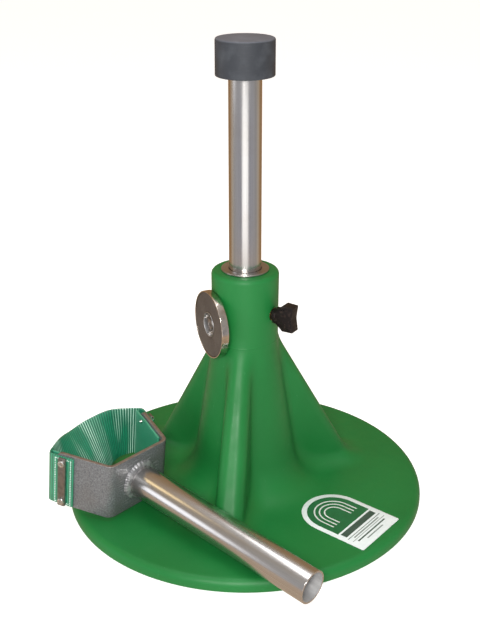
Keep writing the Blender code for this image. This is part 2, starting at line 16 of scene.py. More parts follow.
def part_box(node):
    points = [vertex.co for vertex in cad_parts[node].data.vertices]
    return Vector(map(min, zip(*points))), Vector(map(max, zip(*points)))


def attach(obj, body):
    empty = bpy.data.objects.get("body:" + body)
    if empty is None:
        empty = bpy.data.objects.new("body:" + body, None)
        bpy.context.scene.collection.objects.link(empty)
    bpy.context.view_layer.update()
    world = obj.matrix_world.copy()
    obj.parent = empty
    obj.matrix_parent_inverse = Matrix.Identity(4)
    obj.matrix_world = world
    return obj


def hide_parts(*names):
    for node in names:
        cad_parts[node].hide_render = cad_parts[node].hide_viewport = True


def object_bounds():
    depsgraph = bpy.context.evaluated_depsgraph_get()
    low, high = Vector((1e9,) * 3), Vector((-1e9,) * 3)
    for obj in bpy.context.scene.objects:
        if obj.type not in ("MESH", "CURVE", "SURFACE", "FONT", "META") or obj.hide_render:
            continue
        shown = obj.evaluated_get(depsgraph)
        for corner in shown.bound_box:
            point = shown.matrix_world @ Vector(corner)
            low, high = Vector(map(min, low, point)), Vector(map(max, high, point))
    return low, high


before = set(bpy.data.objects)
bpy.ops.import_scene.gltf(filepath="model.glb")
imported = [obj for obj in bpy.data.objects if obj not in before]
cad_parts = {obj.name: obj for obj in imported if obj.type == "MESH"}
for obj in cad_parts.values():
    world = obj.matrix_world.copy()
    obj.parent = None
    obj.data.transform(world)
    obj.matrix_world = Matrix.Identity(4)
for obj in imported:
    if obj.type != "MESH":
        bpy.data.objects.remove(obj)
cad_low, cad_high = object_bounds()

# ---- places read from the frame
POST_LOW, POST_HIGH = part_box("post_tube")
CAP_LOW, CAP_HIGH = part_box("post_cap")
RING_LOW, RING_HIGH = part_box("mouth_ring")
_, BASE_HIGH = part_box("base_moulding")
_, PLATE_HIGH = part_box("foot_plate")
_, SLEEVE_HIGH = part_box("guide_sleeve")

# ---- driving sizes shared with the CAD
GAP = 0.0003
POST_R = POST_HIGH.x
POST_WALL = 0.0022
CAP_R = CAP_HIGH.x
CAP_CROWN = 0.0100
DISC_R = BASE_HIGH.x
RIM_Z = 0.0152
RIM_EDGE_R = 0.0090
RIM_FOOT_R = 0.0030
DISC_RISE = 0.0025
DISC_INNER_R = 0.1000
COLLAR_TOP_Z = BASE_HIGH.z
COLLAR_TOP_R = 0.0402
COLLAR_LOW_R = 0.0393
COLLAR_LOW_Z = 0.1980
COLLAR_EDGE_R = 0.0050
TOWER_FOOT_R = 0.0610
TOWER_FOOT_Z = 0.0560
BASE_WALL = 0.0065
SOCKET_FLOOR_Z = 0.1860
CAVITY_FOOT_R = 0.0740
BORE_R = SLEEVE_HIGH.x + GAP
SLEEVE_BORE_R = POST_R + 0.00045
RIB_AZIMUTHS = (30.0, 150.0, 270.0)
RIB_TOP = (0.0385, 0.2060)
RIB_FOOT = (0.1500, 0.0060)
RIB_HALF_TOP = 0.0135
RIB_HALF_FOOT = 0.0180
RIB_EDGE_R = 0.0132
KNOB_AZIMUTH = 336.0
KNOB_Z = 0.2430
KNOB_START = 0.0415
KNOB_LENGTH = 0.0280
KNOB_HUB_R = 0.0080
KNOB_HALF_SPAN = 0.0162
KNOB_HALF_THICK = 0.0070
KNOB_SHOULDER = 0.0045
KNOB_WING_EDGE = 0.0140
KNOB_TAPER = 0.0006
KNOB_DISH = 0.0022
STUD_IN_KNOB = 0.0200
STUD_R = 0.0047
THREAD_PITCH = 0.0015
CLAMP_INSERT_R = 0.0078
INSERT_FROM = 0.0262
PAD_T = 0.0040
MAGNET_AZIMUTH = 214.0
MAGNET_Z = 0.2290
MAGNET_R = 0.0406
MAGNET_T = 0.0095
MAGNET_BACK_T = 0.0025
MAGNET_RIM_T = 0.0016
MAGNET_HUB_R = 0.0149
MAGNET_HUB_T = 0.0008
MAGNET_SEAT = 0.0385
MAGNET_HOLE_R = 0.0043
WASHER_R = 0.0090
WASHER_T = 0.0012
BOLT_L = 0.0120
LABEL_AZIMUTH = -29.5
LABEL_OUTER = 0.2055
LABEL_SHIFT = -0.0069
LABEL_L = 0.1040
LABEL_W = 0.0783
LABEL_T = 0.0005
CRADLE_AT = (-0.1127, -0.0935, 0.0535)
CRADLE_TURN = (-0.82, 5.22, -32.4)
YOKE_W = 0.0906
YOKE_FLARE = 20.5
ARM_L = 0.0730
BAR_H = 0.0700
BAR_T = 0.0048
BEND_R = 0.0120
ARM_CORNER_R = 0.0085
STEM_L = 0.2620
WELD_LEG = 0.0048
SLING_H = 0.0660
SLING_T = 0.0026
TAIL_FROM = 0.0485
LINING_FROM = 0.0120
LINING_TO = 0.0825
SLING_BOW = (                     # from the loop round the left arm's end to the right one's
    (-0.0740, -0.0738),
    (-0.0779, -0.0700),
    (-0.0800, -0.0640),
    (-0.0872, -0.0420),
    (-0.0948, -0.0110),
    (-0.0968, 0.0200),
    (-0.0945, 0.0450),
    (-0.0873, 0.0600),
    (-0.0812, 0.0683),
    (-0.0745, 0.0737),
)
SLING_LEAN = 0.0220               # free span: half of what its top leads its bottom by
SLING_SINK = 0.0100               # and how far its middle moves inward
SLING_LEAN_SKEW = 0.55
SLING_LEAN_Y = 0.0725
SLING_LEAN_X = -0.0735
SLING_LEAN_BLEND = 0.0060
CLIP_L = 0.0650
CLIP_W = 0.0095
CLIP_T = 0.0030
CLIP_ALONG = 0.0620
SCREW_SPREAD = 0.0260
SCREW_R = 0.0022
SCREW_HEAD_R = 0.0042
SCREW_HEAD_T = 0.0022

# ---- finer shape that only the looks have
ROUND = 128                       # columns round a turned piece
SHELL_STEP = 0.0020               # spacing of the base shell's rows
SHELL_CENTRE_Z = 0.0080
FOOT_BLEND = 0.0400               # tower into disc
RIB_BLEND = 0.0080                # rib into tower
RIB_FOOT_BLEND = 0.0190           # added where a rib runs into the disc
BAR_EDGE = 0.0007
WEB_RIB_PITCH = 0.0032
WEB_STEP = WEB_RIB_PITCH / 6
STRAP_L = 0.2214                  # end to end, laid flat
WEB_RIB_DEPTH = 0.42              # share of the strap's half thickness
HEM_L = 0.0080
HEM_SWELL = 0.0005
STITCH_L = 0.0015
STITCH_R = 0.00075
STITCH_PITCH = 0.0024


# ------------------------------------------------------------------ node building
class Nodes:
    """Short calls for the nodes of one shader tree."""

    def __init__(self, tree, place):
        self.tree = tree
        self.place = self.node("TexCoord").outputs[place]

    def feed(self, socket, value):
        if isinstance(value, bpy.types.NodeSocket):
            self.tree.links.new(value, socket)
        else:
            socket.default_value = value

    def fill(self, node, **values):
        for name, value in values.items():
            self.feed(node.inputs[name.replace("_", " ")], value)

    def node(self, kind, settings=None, **values):
        node = self.tree.nodes.new("ShaderNode" + kind)
        for name, value in (settings or {}).items():
            setattr(node, name, value)
        self.fill(node, **values)
        return node

    def noise(self, scale, detail=2.0, source=None):
        """Noise of one scale, or of three that stretch it along X, Y and Z."""
        vector = source or self.place
        if isinstance(scale, tuple):
            vector = self.node("Mapping", Vector=vector, Scale=scale).outputs["Vector"]
            scale = 1.0
        return self.node("TexNoise", Vector=vector, Scale=scale, Detail=detail).outputs["Fac"]

    def cells(self, scale):
        return self.node("TexVoronoi", Vector=self.place, Scale=scale).outputs["Distance"]

    def ranged(self, value, low, high, to_low=0.0, to_high=1.0):
        made = self.node("MapRange", Value=value, From_Min=low, From_Max=high, To_Min=to_low, To_Max=to_high)
        return made.outputs["Result"]

    def math(self, operation, first, second=0.0):
        made = self.node("Math", {"operation": operation})
        for socket, value in zip(made.inputs, (first, second)):
            self.feed(socket, value)
        return made.outputs[0]

    def length(self):
        return self.node("VectorMath", {"operation": "LENGTH"}, Vector=self.place).outputs["Value"]

    def facing(self, source, direction):
        """How far a unit vector points along a fixed direction, from -1 to 1."""
        made = self.node("VectorMath", {"operation": "DOT_PRODUCT"})
        self.feed(made.inputs[0], source)
        self.feed(made.inputs[1], direction)
        return made.outputs["Value"]

    def axis(self, name, source=None):
        return self.node("SeparateXYZ", Vector=source or self.place).outputs[name]

    def blend(self, share, first, second):
        made = self.node("Mix", {"data_type": "RGBA"})
        self.feed(made.inputs[0], share)
        for index, value in ((6, first), (7, second)):
            linked = isinstance(value, bpy.types.NodeSocket)
            self.feed(made.inputs[index], value if linked else (*value, 1.0))
        return made.outputs[2]

    def ramp(self, value, stops):
        made = self.node("ValToRGB", Fac=value)
        elements = made.color_ramp.elements
        while len(elements) < len(stops):
            elements.new(0.5)
        for element, (place, colour) in zip(elements, stops):
            element.position = place
            element.color = (*colour, 1.0)
        return made.outputs["Color"]

    def choose(self, share, first, second):
        """The first shader, or the second where the share is one."""
        made = self.node("MixShader")
        for socket, value in zip(made.inputs, (share, first, second)):
            self.feed(socket, value)
        return made.outputs[0]


class Finish(Nodes):
    """One procedural material, with short calls for what it shows."""

    def __init__(self, name, colour, roughness, metallic=0.0, **sockets):
        self.material = bpy.data.materials.new(name)
        self.material.use_nodes = True
        super().__init__(self.material.node_tree, "Object")
        self.shader = self.tree.nodes["Principled BSDF"]
        self.fill(self.shader, Base_Color=(*colour, 1.0), Roughness=roughness, Metallic=metallic, **sockets)

    def coloured(self, colour):
        self.fill(self.shader, Base_Color=colour)

    def finished(self, colour, roughness, *layers):
        """The wired-up material. Each layer of relief is a height, its distance in metres and its strength."""
        self.coloured(colour)
        self.fill(self.shader, Roughness=roughness)
        normal = None
        for height, distance, strength in layers:
            bump = self.node("Bump", Height=height, Distance=distance, Strength=strength)
            if normal is not None:
                self.fill(bump, Normal=normal)
            normal = bump.outputs["Normal"]
        self.fill(self.shader, Normal=normal)
        return self.material


def moulded_plastic(name, colour, dark, pale):
    """Thick moulded plastic: cloudy colour, a fine pebble, a parting line and a few scuffs."""
    made = Finish(name, colour, 0.45, Specular_IOR_Level=0.36)
    cloud = made.ranged(made.noise(9.0, 3.0), 0.32, 0.68)
    tinted = made.blend(cloud, dark, colour)
    speck = made.ranged(made.cells(62.0), 0.050, 0.034)
    rare = made.math("MULTIPLY", speck, made.ranged(made.noise(31.0, 0.0), 0.60, 0.66))
    scuff = made.ranged(made.noise((260.0, 26.0, 120.0), 4.0), 0.70, 0.78, 0.0, 0.35)
    wear_and_painted_highlight = made.math("MAXIMUM", made.math("MULTIPLY", rare, 0.55), scuff)
    gloss = made.ranged(made.noise(55.0, 4.0), 0.30, 0.70, 0.41, 0.54)
    line = made.math("ABSOLUTE", made.math("SUBTRACT", made.axis("Z"), RIB_TOP[1]))
    parting = made.ranged(line, 0.0, 0.0009, 1.0, 0.0)
    pebble = made.noise(1500.0, 2.0)
    wave = made.noise(34.0, 2.0)
    return made.finished(
        made.blend(wear_and_painted_highlight, tinted, pale), gloss,
        (wave, 0.0009, 0.35), (parting, 0.0004, 0.55), (pebble, 0.00012, 0.40))


def drawn_steel(name, colour, roughness):
    """Bright drawn tube: fine hairs along its own Z, a cloudy polish and faint stains."""
    made = Finish(name, colour, roughness, 1.0)
    hairs = made.noise((1700.0, 1700.0, 9.0), 4.0)
    streaks = made.noise((150.0, 150.0, 3.0), 2.0)
    cloud = made.noise(34.0, 4.0)
    tinted = made.blend(made.ranged(hairs, 0.3, 0.7), [c * 0.88 for c in colour], colour)
    stained = made.math("MULTIPLY", made.ranged(cloud, 0.52, 0.80), 0.20)
    return made.finished(
        made.blend(stained, tinted, (0.40, 0.33, 0.26)),
        made.ranged(streaks, 0.3, 0.7, roughness - 0.04, roughness + 0.06),
        (hairs, 0.00003, 0.45))


def turned_steel(name, colour, roughness):
    """Steel that was faced on a lathe: fine rings round its own Z."""
    made = Finish(name, colour, roughness, 1.0)
    rings = made.noise((14.0, 14.0, 2600.0), 3.0)
    stain = made.ranged(made.noise(60.0, 4.0), 0.50, 0.78, 0.0, 0.35)
    tinted = made.blend(made.ranged(rings, 0.3, 0.7), [c * 0.84 for c in colour], colour)
    return made.finished(
        made.blend(stain, tinted, (0.30, 0.25, 0.21)),
        made.ranged(made.noise(90.0, 3.0), 0.3, 0.7, roughness - 0.05, roughness + 0.08),
        (rings, 0.00004, 0.55))


def mill_scale():
    """The dull pale bore of a welded tube."""
    made = Finish("mill_scale", (0.46, 0.46, 0.46), 0.60, 0.35)
    cloud = made.noise(70.0, 5.0)
    streaks = made.noise((400.0, 400.0, 12.0), 3.0)
    tinted = made.blend(made.ranged(cloud, 0.35, 0.70), (0.36, 0.36, 0.365), (0.55, 0.55, 0.55))
    return made.finished(
        made.blend(made.ranged(streaks, 0.45, 0.75, 0.0, 0.4), tinted, (0.30, 0.29, 0.28)),
        made.ranged(cloud, 0.3, 0.7, 0.50, 0.72),
        (streaks, 0.0001, 0.4))


def plated_steel(name, colour, roughness):
    """Bright plating with a haze of fine marks."""
    made = Finish(name, colour, roughness, 1.0)
    haze = made.noise(210.0, 5.0)
    hairs = made.noise((900.0, 60.0, 900.0), 3.0)
    return made.finished(
        made.blend(made.ranged(haze, 0.45, 0.75), colour, [c * 0.72 for c in colour]),
        made.ranged(haze, 0.3, 0.7, roughness * 0.7, roughness + 0.12),
        (hairs, 0.00003, 0.4))


def sintered_ferrite():
    made = Finish("ferrite", (0.070, 0.055, 0.046), 0.62, Specular_IOR_Level=0.4)
    grain = made.noise(900.0, 4.0)
    cloud = made.noise(46.0, 3.0)
    rub = made.ranged(made.noise((140.0, 900.0, 140.0), 4.0), 0.62, 0.74, 0.0, 0.35)
    base = made.blend(made.ranged(cloud, 0.3, 0.7), (0.060, 0.046, 0.038), (0.088, 0.070, 0.058))
    return made.finished(
        made.blend(rub, base, (0.20, 0.175, 0.155)),
        made.ranged(grain, 0.3, 0.7, 0.48, 0.72),
        (grain, 0.00012, 0.6))


def hard_rubber():
    """Black rubber with patchy dust and a coarse skin; its crown is painted a paler grey as a painted sheen.
    """
    made = Finish("rubber", (0.030, 0.033, 0.041), 0.62, Specular_IOR_Level=0.35)
    dust_and_sheen = made.ranged(made.noise(70.0, 5.0), 0.45, 0.75)
    rub = made.ranged(made.noise((60.0, 60.0, 420.0), 4.0), 0.60, 0.78, 0.0, 0.3)
    base = made.blend(dust_and_sheen, (0.034, 0.038, 0.046), (0.054, 0.060, 0.070))
    rubbed = made.blend(rub, base, (0.075, 0.080, 0.092))
    # painted sheen: the top two millimetres of the crown are painted a paler blue grey
    crown = made.ranged(made.axis("Z"), CAP_HIGH.z - 0.0020, CAP_HIGH.z - 0.0002)
    painted_sheen = made.blend(dust_and_sheen, (0.115, 0.122, 0.145), (0.155, 0.160, 0.185))
    return made.finished(
        made.blend(crown, rubbed, painted_sheen),
        made.ranged(dust_and_sheen, 0.0, 1.0, 0.55, 0.74),
        (made.noise(1300.0, 3.0), 0.00014, 0.5), (made.noise(120.0, 2.0), 0.0003, 0.25))


def black_grip():
    made = Finish("black_grip", (0.010, 0.007, 0.007), 0.46, Specular_IOR_Level=0.25)
    wear = made.ranged(made.noise(330.0, 4.0), 0.55, 0.72)
    return made.finished(
        made.blend(wear, (0.009, 0.006, 0.006), (0.034, 0.022, 0.019)),
        made.ranged(made.noise(160.0, 3.0), 0.3, 0.7, 0.34, 0.55),
        (made.noise(2600.0, 2.0), 0.0001, 0.5))


def hammer_enamel():
    """Grey hammered enamel, burnt paler round the weld at its own origin."""
    made = Finish("hammer_enamel", (0.20, 0.205, 0.215), 0.40, 0.35)
    fleck = made.noise(620.0, 3.0)
    dimple = made.cells(520.0)
    shade = made.blend(made.ranged(fleck, 0.35, 0.65), (0.115, 0.120, 0.130), (0.225, 0.235, 0.245))
    grime = made.ranged(made.noise(38.0, 3.0), 0.40, 0.75, 0.0, 0.40)
    shade = made.blend(grime, shade, (0.15, 0.135, 0.125))
    near = made.ranged(made.length(), 0.022, 0.036, 1.0, 0.0)
    streaks = made.ranged(made.noise((60.0, 60.0, 420.0), 4.0), 0.55, 0.66)
    burnt = made.math("MULTIPLY", near, streaks)
    return made.finished(
        made.blend(burnt, shade, (0.46, 0.46, 0.48)),
        made.ranged(burnt, 0.0, 1.0, 0.42, 0.34),
        (dimple, 0.00016, 0.45), (fleck, 0.00010, 0.30))


def sawn_edge():
    made = Finish("sawn_edge", (0.30, 0.235, 0.195), 0.42, 0.75)
    cuts = made.noise((1500.0, 90.0, 90.0), 3.0)
    return made.finished(
        made.blend(made.ranged(cuts, 0.3, 0.7), (0.20, 0.155, 0.13), (0.40, 0.33, 0.28)),
        made.ranged(cuts, 0.3, 0.7, 0.34, 0.55),
        (cuts, 0.00008, 0.5))


def weld_metal():
    made = Finish("weld_metal", (0.32, 0.32, 0.33), 0.46, 0.55)
    cloud = made.noise(180.0, 4.0)
    return made.finished(
        made.blend(made.ranged(cloud, 0.40, 0.66), (0.20, 0.20, 0.21), (0.42, 0.42, 0.43)),
        made.ranged(cloud, 0.3, 0.7, 0.54, 0.40),
        (made.noise(700.0, 3.0), 0.0002, 0.5))


def woven_web(name, dark, base, pale, ribbed):
    """Nylon webbing in the strap's own lengths: u runs along it and v across it, in metres. Ribbed webbing has
    painted shade in the troughs between ribs, and a painted highlight on the rib crests in patches of the free
    span.
    """
    made = Finish(name, base, 0.36, Specular_IOR_Level=0.80, Coat_Weight=0.80, Coat_Roughness=0.16)
    flat = made.node("UVMap", {"uv_map": "strap"}).outputs["UV"]
    along = made.axis("X", flat)
    across = made.axis("Y", flat)
    turns = 2.0 * math.pi / WEB_RIB_PITCH
    crest = made.math("COSINE", made.math("MULTIPLY", along, turns))
    shift = made.math("MULTIPLY", crest, 0.6)
    yarn = made.math("SINE", made.math("ADD", made.math("MULTIPLY", across, 2.0 * math.pi / 0.0011), shift))
    fuzz = made.noise((1300.0, 2600.0, 1.0), 3.0, flat)
    # painted shade: the troughs between ribs are coloured darker than the crests
    tone_with_painted_rib_shade = made.blend(made.ranged(crest, -0.8, 0.9), dark, base) if ribbed else base
    threads = made.ranged(made.math("ADD", yarn, made.math("MULTIPLY", fuzz, 2.0)), 0.2, 2.6, 0.0, 0.45)
    shade = made.blend(threads, tone_with_painted_rib_shade, pale)
    if ribbed:
        # painted highlight: in patches of the free span the rib crests are painted a pale mint
        patch = made.ranged(made.noise((31.0, 9.0, 1.0), 1.0, flat), 0.46, 0.58)
        from_middle = made.math("ABSOLUTE", made.math("SUBTRACT", along, STRAP_L / 2))
        free = made.math("MULTIPLY", made.ranged(from_middle, 0.070, 0.078, 1.0, 0.0), patch)
        wear_and_painted_highlight = made.math("MULTIPLY", made.ranged(crest, 0.15, 0.85), free)
        shade = made.blend(made.math("MULTIPLY", wear_and_painted_highlight, 0.92), shade, (0.66, 0.96, 0.82))
    return made.finished(
        made.blend(made.ranged(made.noise(60.0, 3.0), 0.45, 0.8, 0.0, 0.35), shade, dark),
        made.ranged(fuzz, 0.3, 0.7, 0.28, 0.46),
        (yarn, 0.00006, 0.35), (fuzz, 0.00006, 0.30))


def sewing_thread():
    made = Finish("thread", (0.70, 0.94, 0.84), 0.50, Sheen_Weight=0.3)
    twist = made.noise((3200.0, 3200.0, 3200.0), 2.0)
    colour = made.blend(made.ranged(twist, 0.35, 0.65), (0.60, 0.88, 0.76), (0.86, 1.0, 0.94))
    return made.finished(colour, 0.50, (twist, 0.00008, 0.5))


def printed_film(name, colour, second, roughness=0.30, coat=0.25):
    """Glossy label stock, or ink on it, with faint handling marks."""
    made = Finish(name, colour, roughness, Coat_Weight=coat, Coat_Roughness=0.12)
    cloud = made.noise(120.0, 4.0)
    rub = made.ranged(made.noise((70.0, 900.0, 70.0), 3.0), 0.62, 0.74, 0.0, 0.30)
    return made.finished(
        made.blend(rub, made.blend(made.ranged(cloud, 0.35, 0.65), colour, second), second),
        made.ranged(cloud, 0.3, 0.7, roughness - 0.06, roughness + 0.12),
        (made.noise(260.0, 3.0), 0.00008, 0.3))


# ------------------------------------------------------------------ mesh building
def mesh_from(name, points, faces, sharp=35.0):
    mesh = bpy.data.meshes.new(name)
    mesh.from_pydata([tuple(p) for p in points], [], faces)
    mesh.validate()
    bm = bmesh.new()
    bm.from_mesh(mesh)
    bmesh.ops.recalc_face_normals(bm, faces=bm.faces)
    bm.to_mesh(mesh)
    bm.free()
    smooth(mesh, sharp)
    return mesh


def mesh_of(bm, name, sharp=35.0):
    """Turn a finished bmesh into a smooth mesh, and free it."""
    mesh = bpy.data.meshes.new(name)
    bm.to_mesh(mesh)
    bm.free()
    smooth(mesh, sharp)
    return mesh


def smooth(mesh, sharp=35.0):
    mesh.polygons.foreach_set("use_smooth", [True] * len(mesh.polygons))
    mesh.set_sharp_from_angle(angle=math.radians(sharp))


def show(name, mesh, material, body, where=None, stands_for=()):
    """Link a finished mesh, give it its look and let it ride on its body."""
    obj = bpy.data.objects.new(name, mesh)
    bpy.context.scene.collection.objects.link(obj)
    if not mesh.materials:
        mesh.materials.append(material)
    if where is not None:
        obj.matrix_world = where
    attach(obj, body)
    if stands_for:
        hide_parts(*stands_for)
    return obj


def placed(at, turn):
    """A frame from a point and Euler angles in degrees."""
    return Matrix.Translation(at) @ Euler([math.radians(a) for a in turn]).to_matrix().to_4x4()


def arc(centre, radius, start, end, count):
    angles = np.radians(np.linspace(start, end, count + 1))
    return [(centre[0] + radius * math.cos(a), centre[1] + radius * math.sin(a)) for a in angles]


def rounded(points, radii, steps=5, closed=True):
    """An outline whose corners are rounded, each by its own radius."""
    count = len(points)
    if not hasattr(radii, "__len__"):
        radii = [radii] * count
    outline = []
    for i, point in enumerate(points):
        here = Vector(point)
        end = not closed and i in (0, count - 1)
        if end or radii[i] <= 0.0:
            outline.append(tuple(here))
            continue
        before = Vector(points[i - 1]) - here
        after = Vector(points[(i + 1) % count]) - here
        half = before.angle(after) / 2
        cut = min(radii[i] / math.tan(half), 0.49 * before.length, 0.49 * after.length)
        start, stop = here + before.normalized() * cut, here + after.normalized() * cut
        for step in range(steps + 1):
            t = step / steps
            outline.append(tuple(start * (1 - t) ** 2 + here * 2 * t * (1 - t) + stop * t ** 2))
    return outline


def ring_points(radius, angles, height):
    """One ring round Z; the radius and the height are each one number or one for every angle."""
    level = np.broadcast_to(height, angles.shape)
    return np.column_stack((radius * np.cos(angles), radius * np.sin(angles), level)).tolist()


def grid_faces(rows, columns, wrap_rows=False):
    """Quads over rows of columns; the columns always close on themselves."""
    faces = []
    for i in range(rows if wrap_rows else rows - 1):
        here, there = i * columns, (i + 1) % rows * columns
        for j in range(columns):
            k = (j + 1) % columns
            faces.append((here + j, here + k, there + k, there + j))
    return faces


def turned(name, profile, closed=False, columns=ROUND, sharp=35.0, wobble=None):
    """Turn (radius, height) points round Z. An open profile starts and ends on the axis."""
    angles = np.linspace(0.0, 2.0 * math.pi, columns, endpoint=False)
    inner = profile if closed else profile[1:-1]
    points = []
    for radius, height in inner:
        reach = radius if wobble is None else radius + wobble(radius, height, angles)
        points.extend(ring_points(reach, angles, height))
    faces = grid_faces(len(inner), columns, closed)
    if not closed:
        last = (len(inner) - 1) * columns
        for (_, height), start, reverse in ((profile[0], 0, True), (profile[-1], last, False)):
            hub = len(points)
            points.append((0.0, 0.0, height))
            for j in range(columns):
                fan = (hub, start + j, start + (j + 1) % columns)
                faces.append(fan[::-1] if reverse else fan)
    return mesh_from(name, points, faces, sharp)


def pipe(name, outer, inner, low, high, edge=0.0004, wobble=None):
    profile = rounded([(outer, high), (outer, low), (inner, low), (inner, high)], edge, 3)
    return turned(name, profile, closed=True, wobble=wobble)


def slab(name, outline, half, edge, segments=3):
    """A flat outline thickened both ways along Z, with softened rims."""
    bm = bmesh.new()
    low = [bm.verts.new((x, y, -half)) for x, y in outline]
    high = [bm.verts.new((x, y, half)) for x, y in outline]
    bm.faces.new(low[::-1])
    bm.faces.new(high)
    count = len(outline)
    for i in range(count):
        j = (i + 1) % count
        bm.faces.new((low[i], low[j], high[j], high[i]))
    bmesh.ops.recalc_face_normals(bm, faces=bm.faces)
    rims = [e for e in bm.edges if abs(e.verts[0].co.z - e.verts[1].co.z) < 1e-6]
    if edge:
        bmesh.ops.bevel(bm, geom=rims, offset=edge, segments=segments, profile=0.5, affect="EDGES")
    return mesh_of(bm, name)


def loft(name, rings, sharp=35.0):
    """Skin a list of equal rings and close both ends."""
    rows, columns = len(rings), len(rings[0])
    points = [tuple(p) for ring in rings for p in ring]
    faces = grid_faces(rows, columns)
    faces.append(tuple(range(columns)))
    faces.append(tuple(range((rows - 1) * columns, rows * columns))[::-1])
    return mesh_from(name, points, faces, sharp)


def strip_outline(half_t, half_h, edge, face_steps):
    """Cross-section of a flat strip: thickness first, height second, from its outer lower corner."""
    edge = min(edge, half_t, half_h)
    points = []
    for start, (sx, sy) in enumerate(((1, -1), (1, 1), (-1, 1), (-1, -1))):
        centre = (sx * (half_t - edge), sy * (half_h - edge))
        points += arc(centre, edge, start * 90.0 - 90.0, start * 90.0, 3)
        if start in (0, 2):
            span = np.linspace(-sx * 1.0, sx * 1.0, face_steps + 2)[1:-1]
            points += [(sx * half_t, h * (half_h - edge)) for h in span]
    return points


def stations(path, spacing):
    """Evenly spaced places along a plane path: distance run, point and left-hand normal."""
    points = np.array([tuple(p) for p in path])
    runs = np.concatenate(([0.0], np.cumsum(np.linalg.norm(np.diff(points, axis=0), axis=1))))
    count = max(2, int(round(runs[-1] / spacing)))
    at = np.linspace(0.0, runs[-1], count + 1)
    x, y = np.interp(at, runs, points[:, 0]), np.interp(at, runs, points[:, 1])
    tangent = np.column_stack((np.gradient(x, at), np.gradient(y, at)))
    tangent /= np.linalg.norm(tangent, axis=1)[:, None]
    return at, np.column_stack((x, y)), np.column_stack((-tangent[:, 1], tangent[:, 0]))


def carve(obj, cutter_mesh, where):
    """Cut a plain solid out of an object's mesh."""
    cutter = bpy.data.objects.new("cutter", cutter_mesh)
    bpy.context.scene.collection.objects.link(cutter)
    cutter.matrix_world = where
    modifier = obj.modifiers.new("cut", "BOOLEAN")
    modifier.object = cutter
    modifier.solver = "EXACT"
    depsgraph = bpy.context.evaluated_depsgraph_get()
    mesh = bpy.data.meshes.new_from_object(obj.evaluated_get(depsgraph))
    obj.modifiers.clear()
    obj.data = mesh
    smooth(mesh, 40.0)
    bpy.data.objects.remove(cutter)


# ------------------------------------------------------------------ base moulding
def disc_top_z(radius):
    share = (DISC_R - RIM_EDGE_R - radius) / (DISC_R - RIM_EDGE_R - DISC_INNER_R)
    return RIM_Z + DISC_RISE * np.clip(share, 0.0, 1.0)


def tower_radius(height):
    """Collar above, cone below, with the change of slope softened."""
    slope = (TOWER_FOOT_R - COLLAR_LOW_R) / (COLLAR_LOW_Z - TOWER_FOOT_Z)
    rise = (COLLAR_TOP_R - COLLAR_LOW_R) / (COLLAR_TOP_Z - COLLAR_LOW_Z)
    soft = 0.006
    below = soft * np.logaddexp(0.0, (COLLAR_LOW_Z - height) / soft)
    return COLLAR_LOW_R + rise * (height - COLLAR_LOW_Z) + (slope + rise) * below


def smooth_min(first, second, reach):
    share = np.clip(0.5 + 0.5 * (second - first) / reach, 0.0, 1.0)
    return second + (first - second) * share - reach * share * (1.0 - share)


def rounded_inside(first, second, radius):
    """Distance to what lies inside both faces, with the edge between them rounded."""
    beyond = np.hypot(np.maximum(first + radius, 0.0), np.maximum(second + radius, 0.0))
    return beyond + np.minimum(np.maximum(first, second) + radius, 0.0) - radius


def rib_distance(x, y, z, azimuth):
    angle = math.radians(azimuth)
    along = x * math.cos(angle) + y * math.sin(angle)
    across = y * math.cos(angle) - x * math.sin(angle)
    crest = Vector((RIB_TOP[1] - RIB_FOOT[1], RIB_FOOT[0] - RIB_TOP[0])).normalized()
    above = (along - RIB_TOP[0]) * crest.x + (z - RIB_TOP[1]) * crest.y
    half = np.interp(z, (RIB_FOOT[1], RIB_TOP[1]), (RIB_HALF_FOOT, RIB_HALF_TOP))
    return np.maximum(rounded_inside(np.abs(across) - half, above, RIB_EDGE_R), -along)


def base_distance(x, y, z):
    radius = np.hypot(x, y)
    tower = rounded_inside(radius - tower_radius(z), z - COLLAR_TOP_Z, COLLAR_EDGE_R)
    disc = rounded_inside(radius - DISC_R, z - disc_top_z(radius), RIM_EDGE_R)
    body = smooth_min(tower, disc, FOOT_BLEND)
    reach = RIB_BLEND + RIB_FOOT_BLEND * np.exp(-np.maximum(z - RIM_Z, 0.0) / 0.020)
    for azimuth in RIB_AZIMUTHS:
        body = smooth_min(body, rib_distance(x, y, z, azimuth), reach)
    return body


def shell_azimuths():
    """Half a degree apart near each rib and wider apart in the valleys between them."""
    near, half_gap = 26.0, 60.0
    one = np.concatenate((np.arange(-near, near, 0.5), np.arange(near, 2 * half_gap - near, 2.0)))
    return np.radians(np.concatenate([azimuth + one for azimuth in RIB_AZIMUTHS]))


def shell_directions():
    """Places that the traced rows aim at, from the mouth of the bore out over the disc."""
    edge = (COLLAR_TOP_R - COLLAR_EDGE_R, COLLAR_TOP_Z - COLLAR_EDGE_R)
    line = [(BORE_R, COLLAR_TOP_Z), *arc(edge, COLLAR_EDGE_R, 90.0, 0.0, 10)]
    line += [(COLLAR_LOW_R, COLLAR_LOW_Z), (TOWER_FOOT_R, TOWER_FOOT_Z), (0.0745, 0.0300)]
    line += [(DISC_INNER_R, disc_top_z(DISC_INNER_R)), (0.1700, disc_top_z(0.1700))]
    _, points, _ = stations(line, SHELL_STEP)
    return points


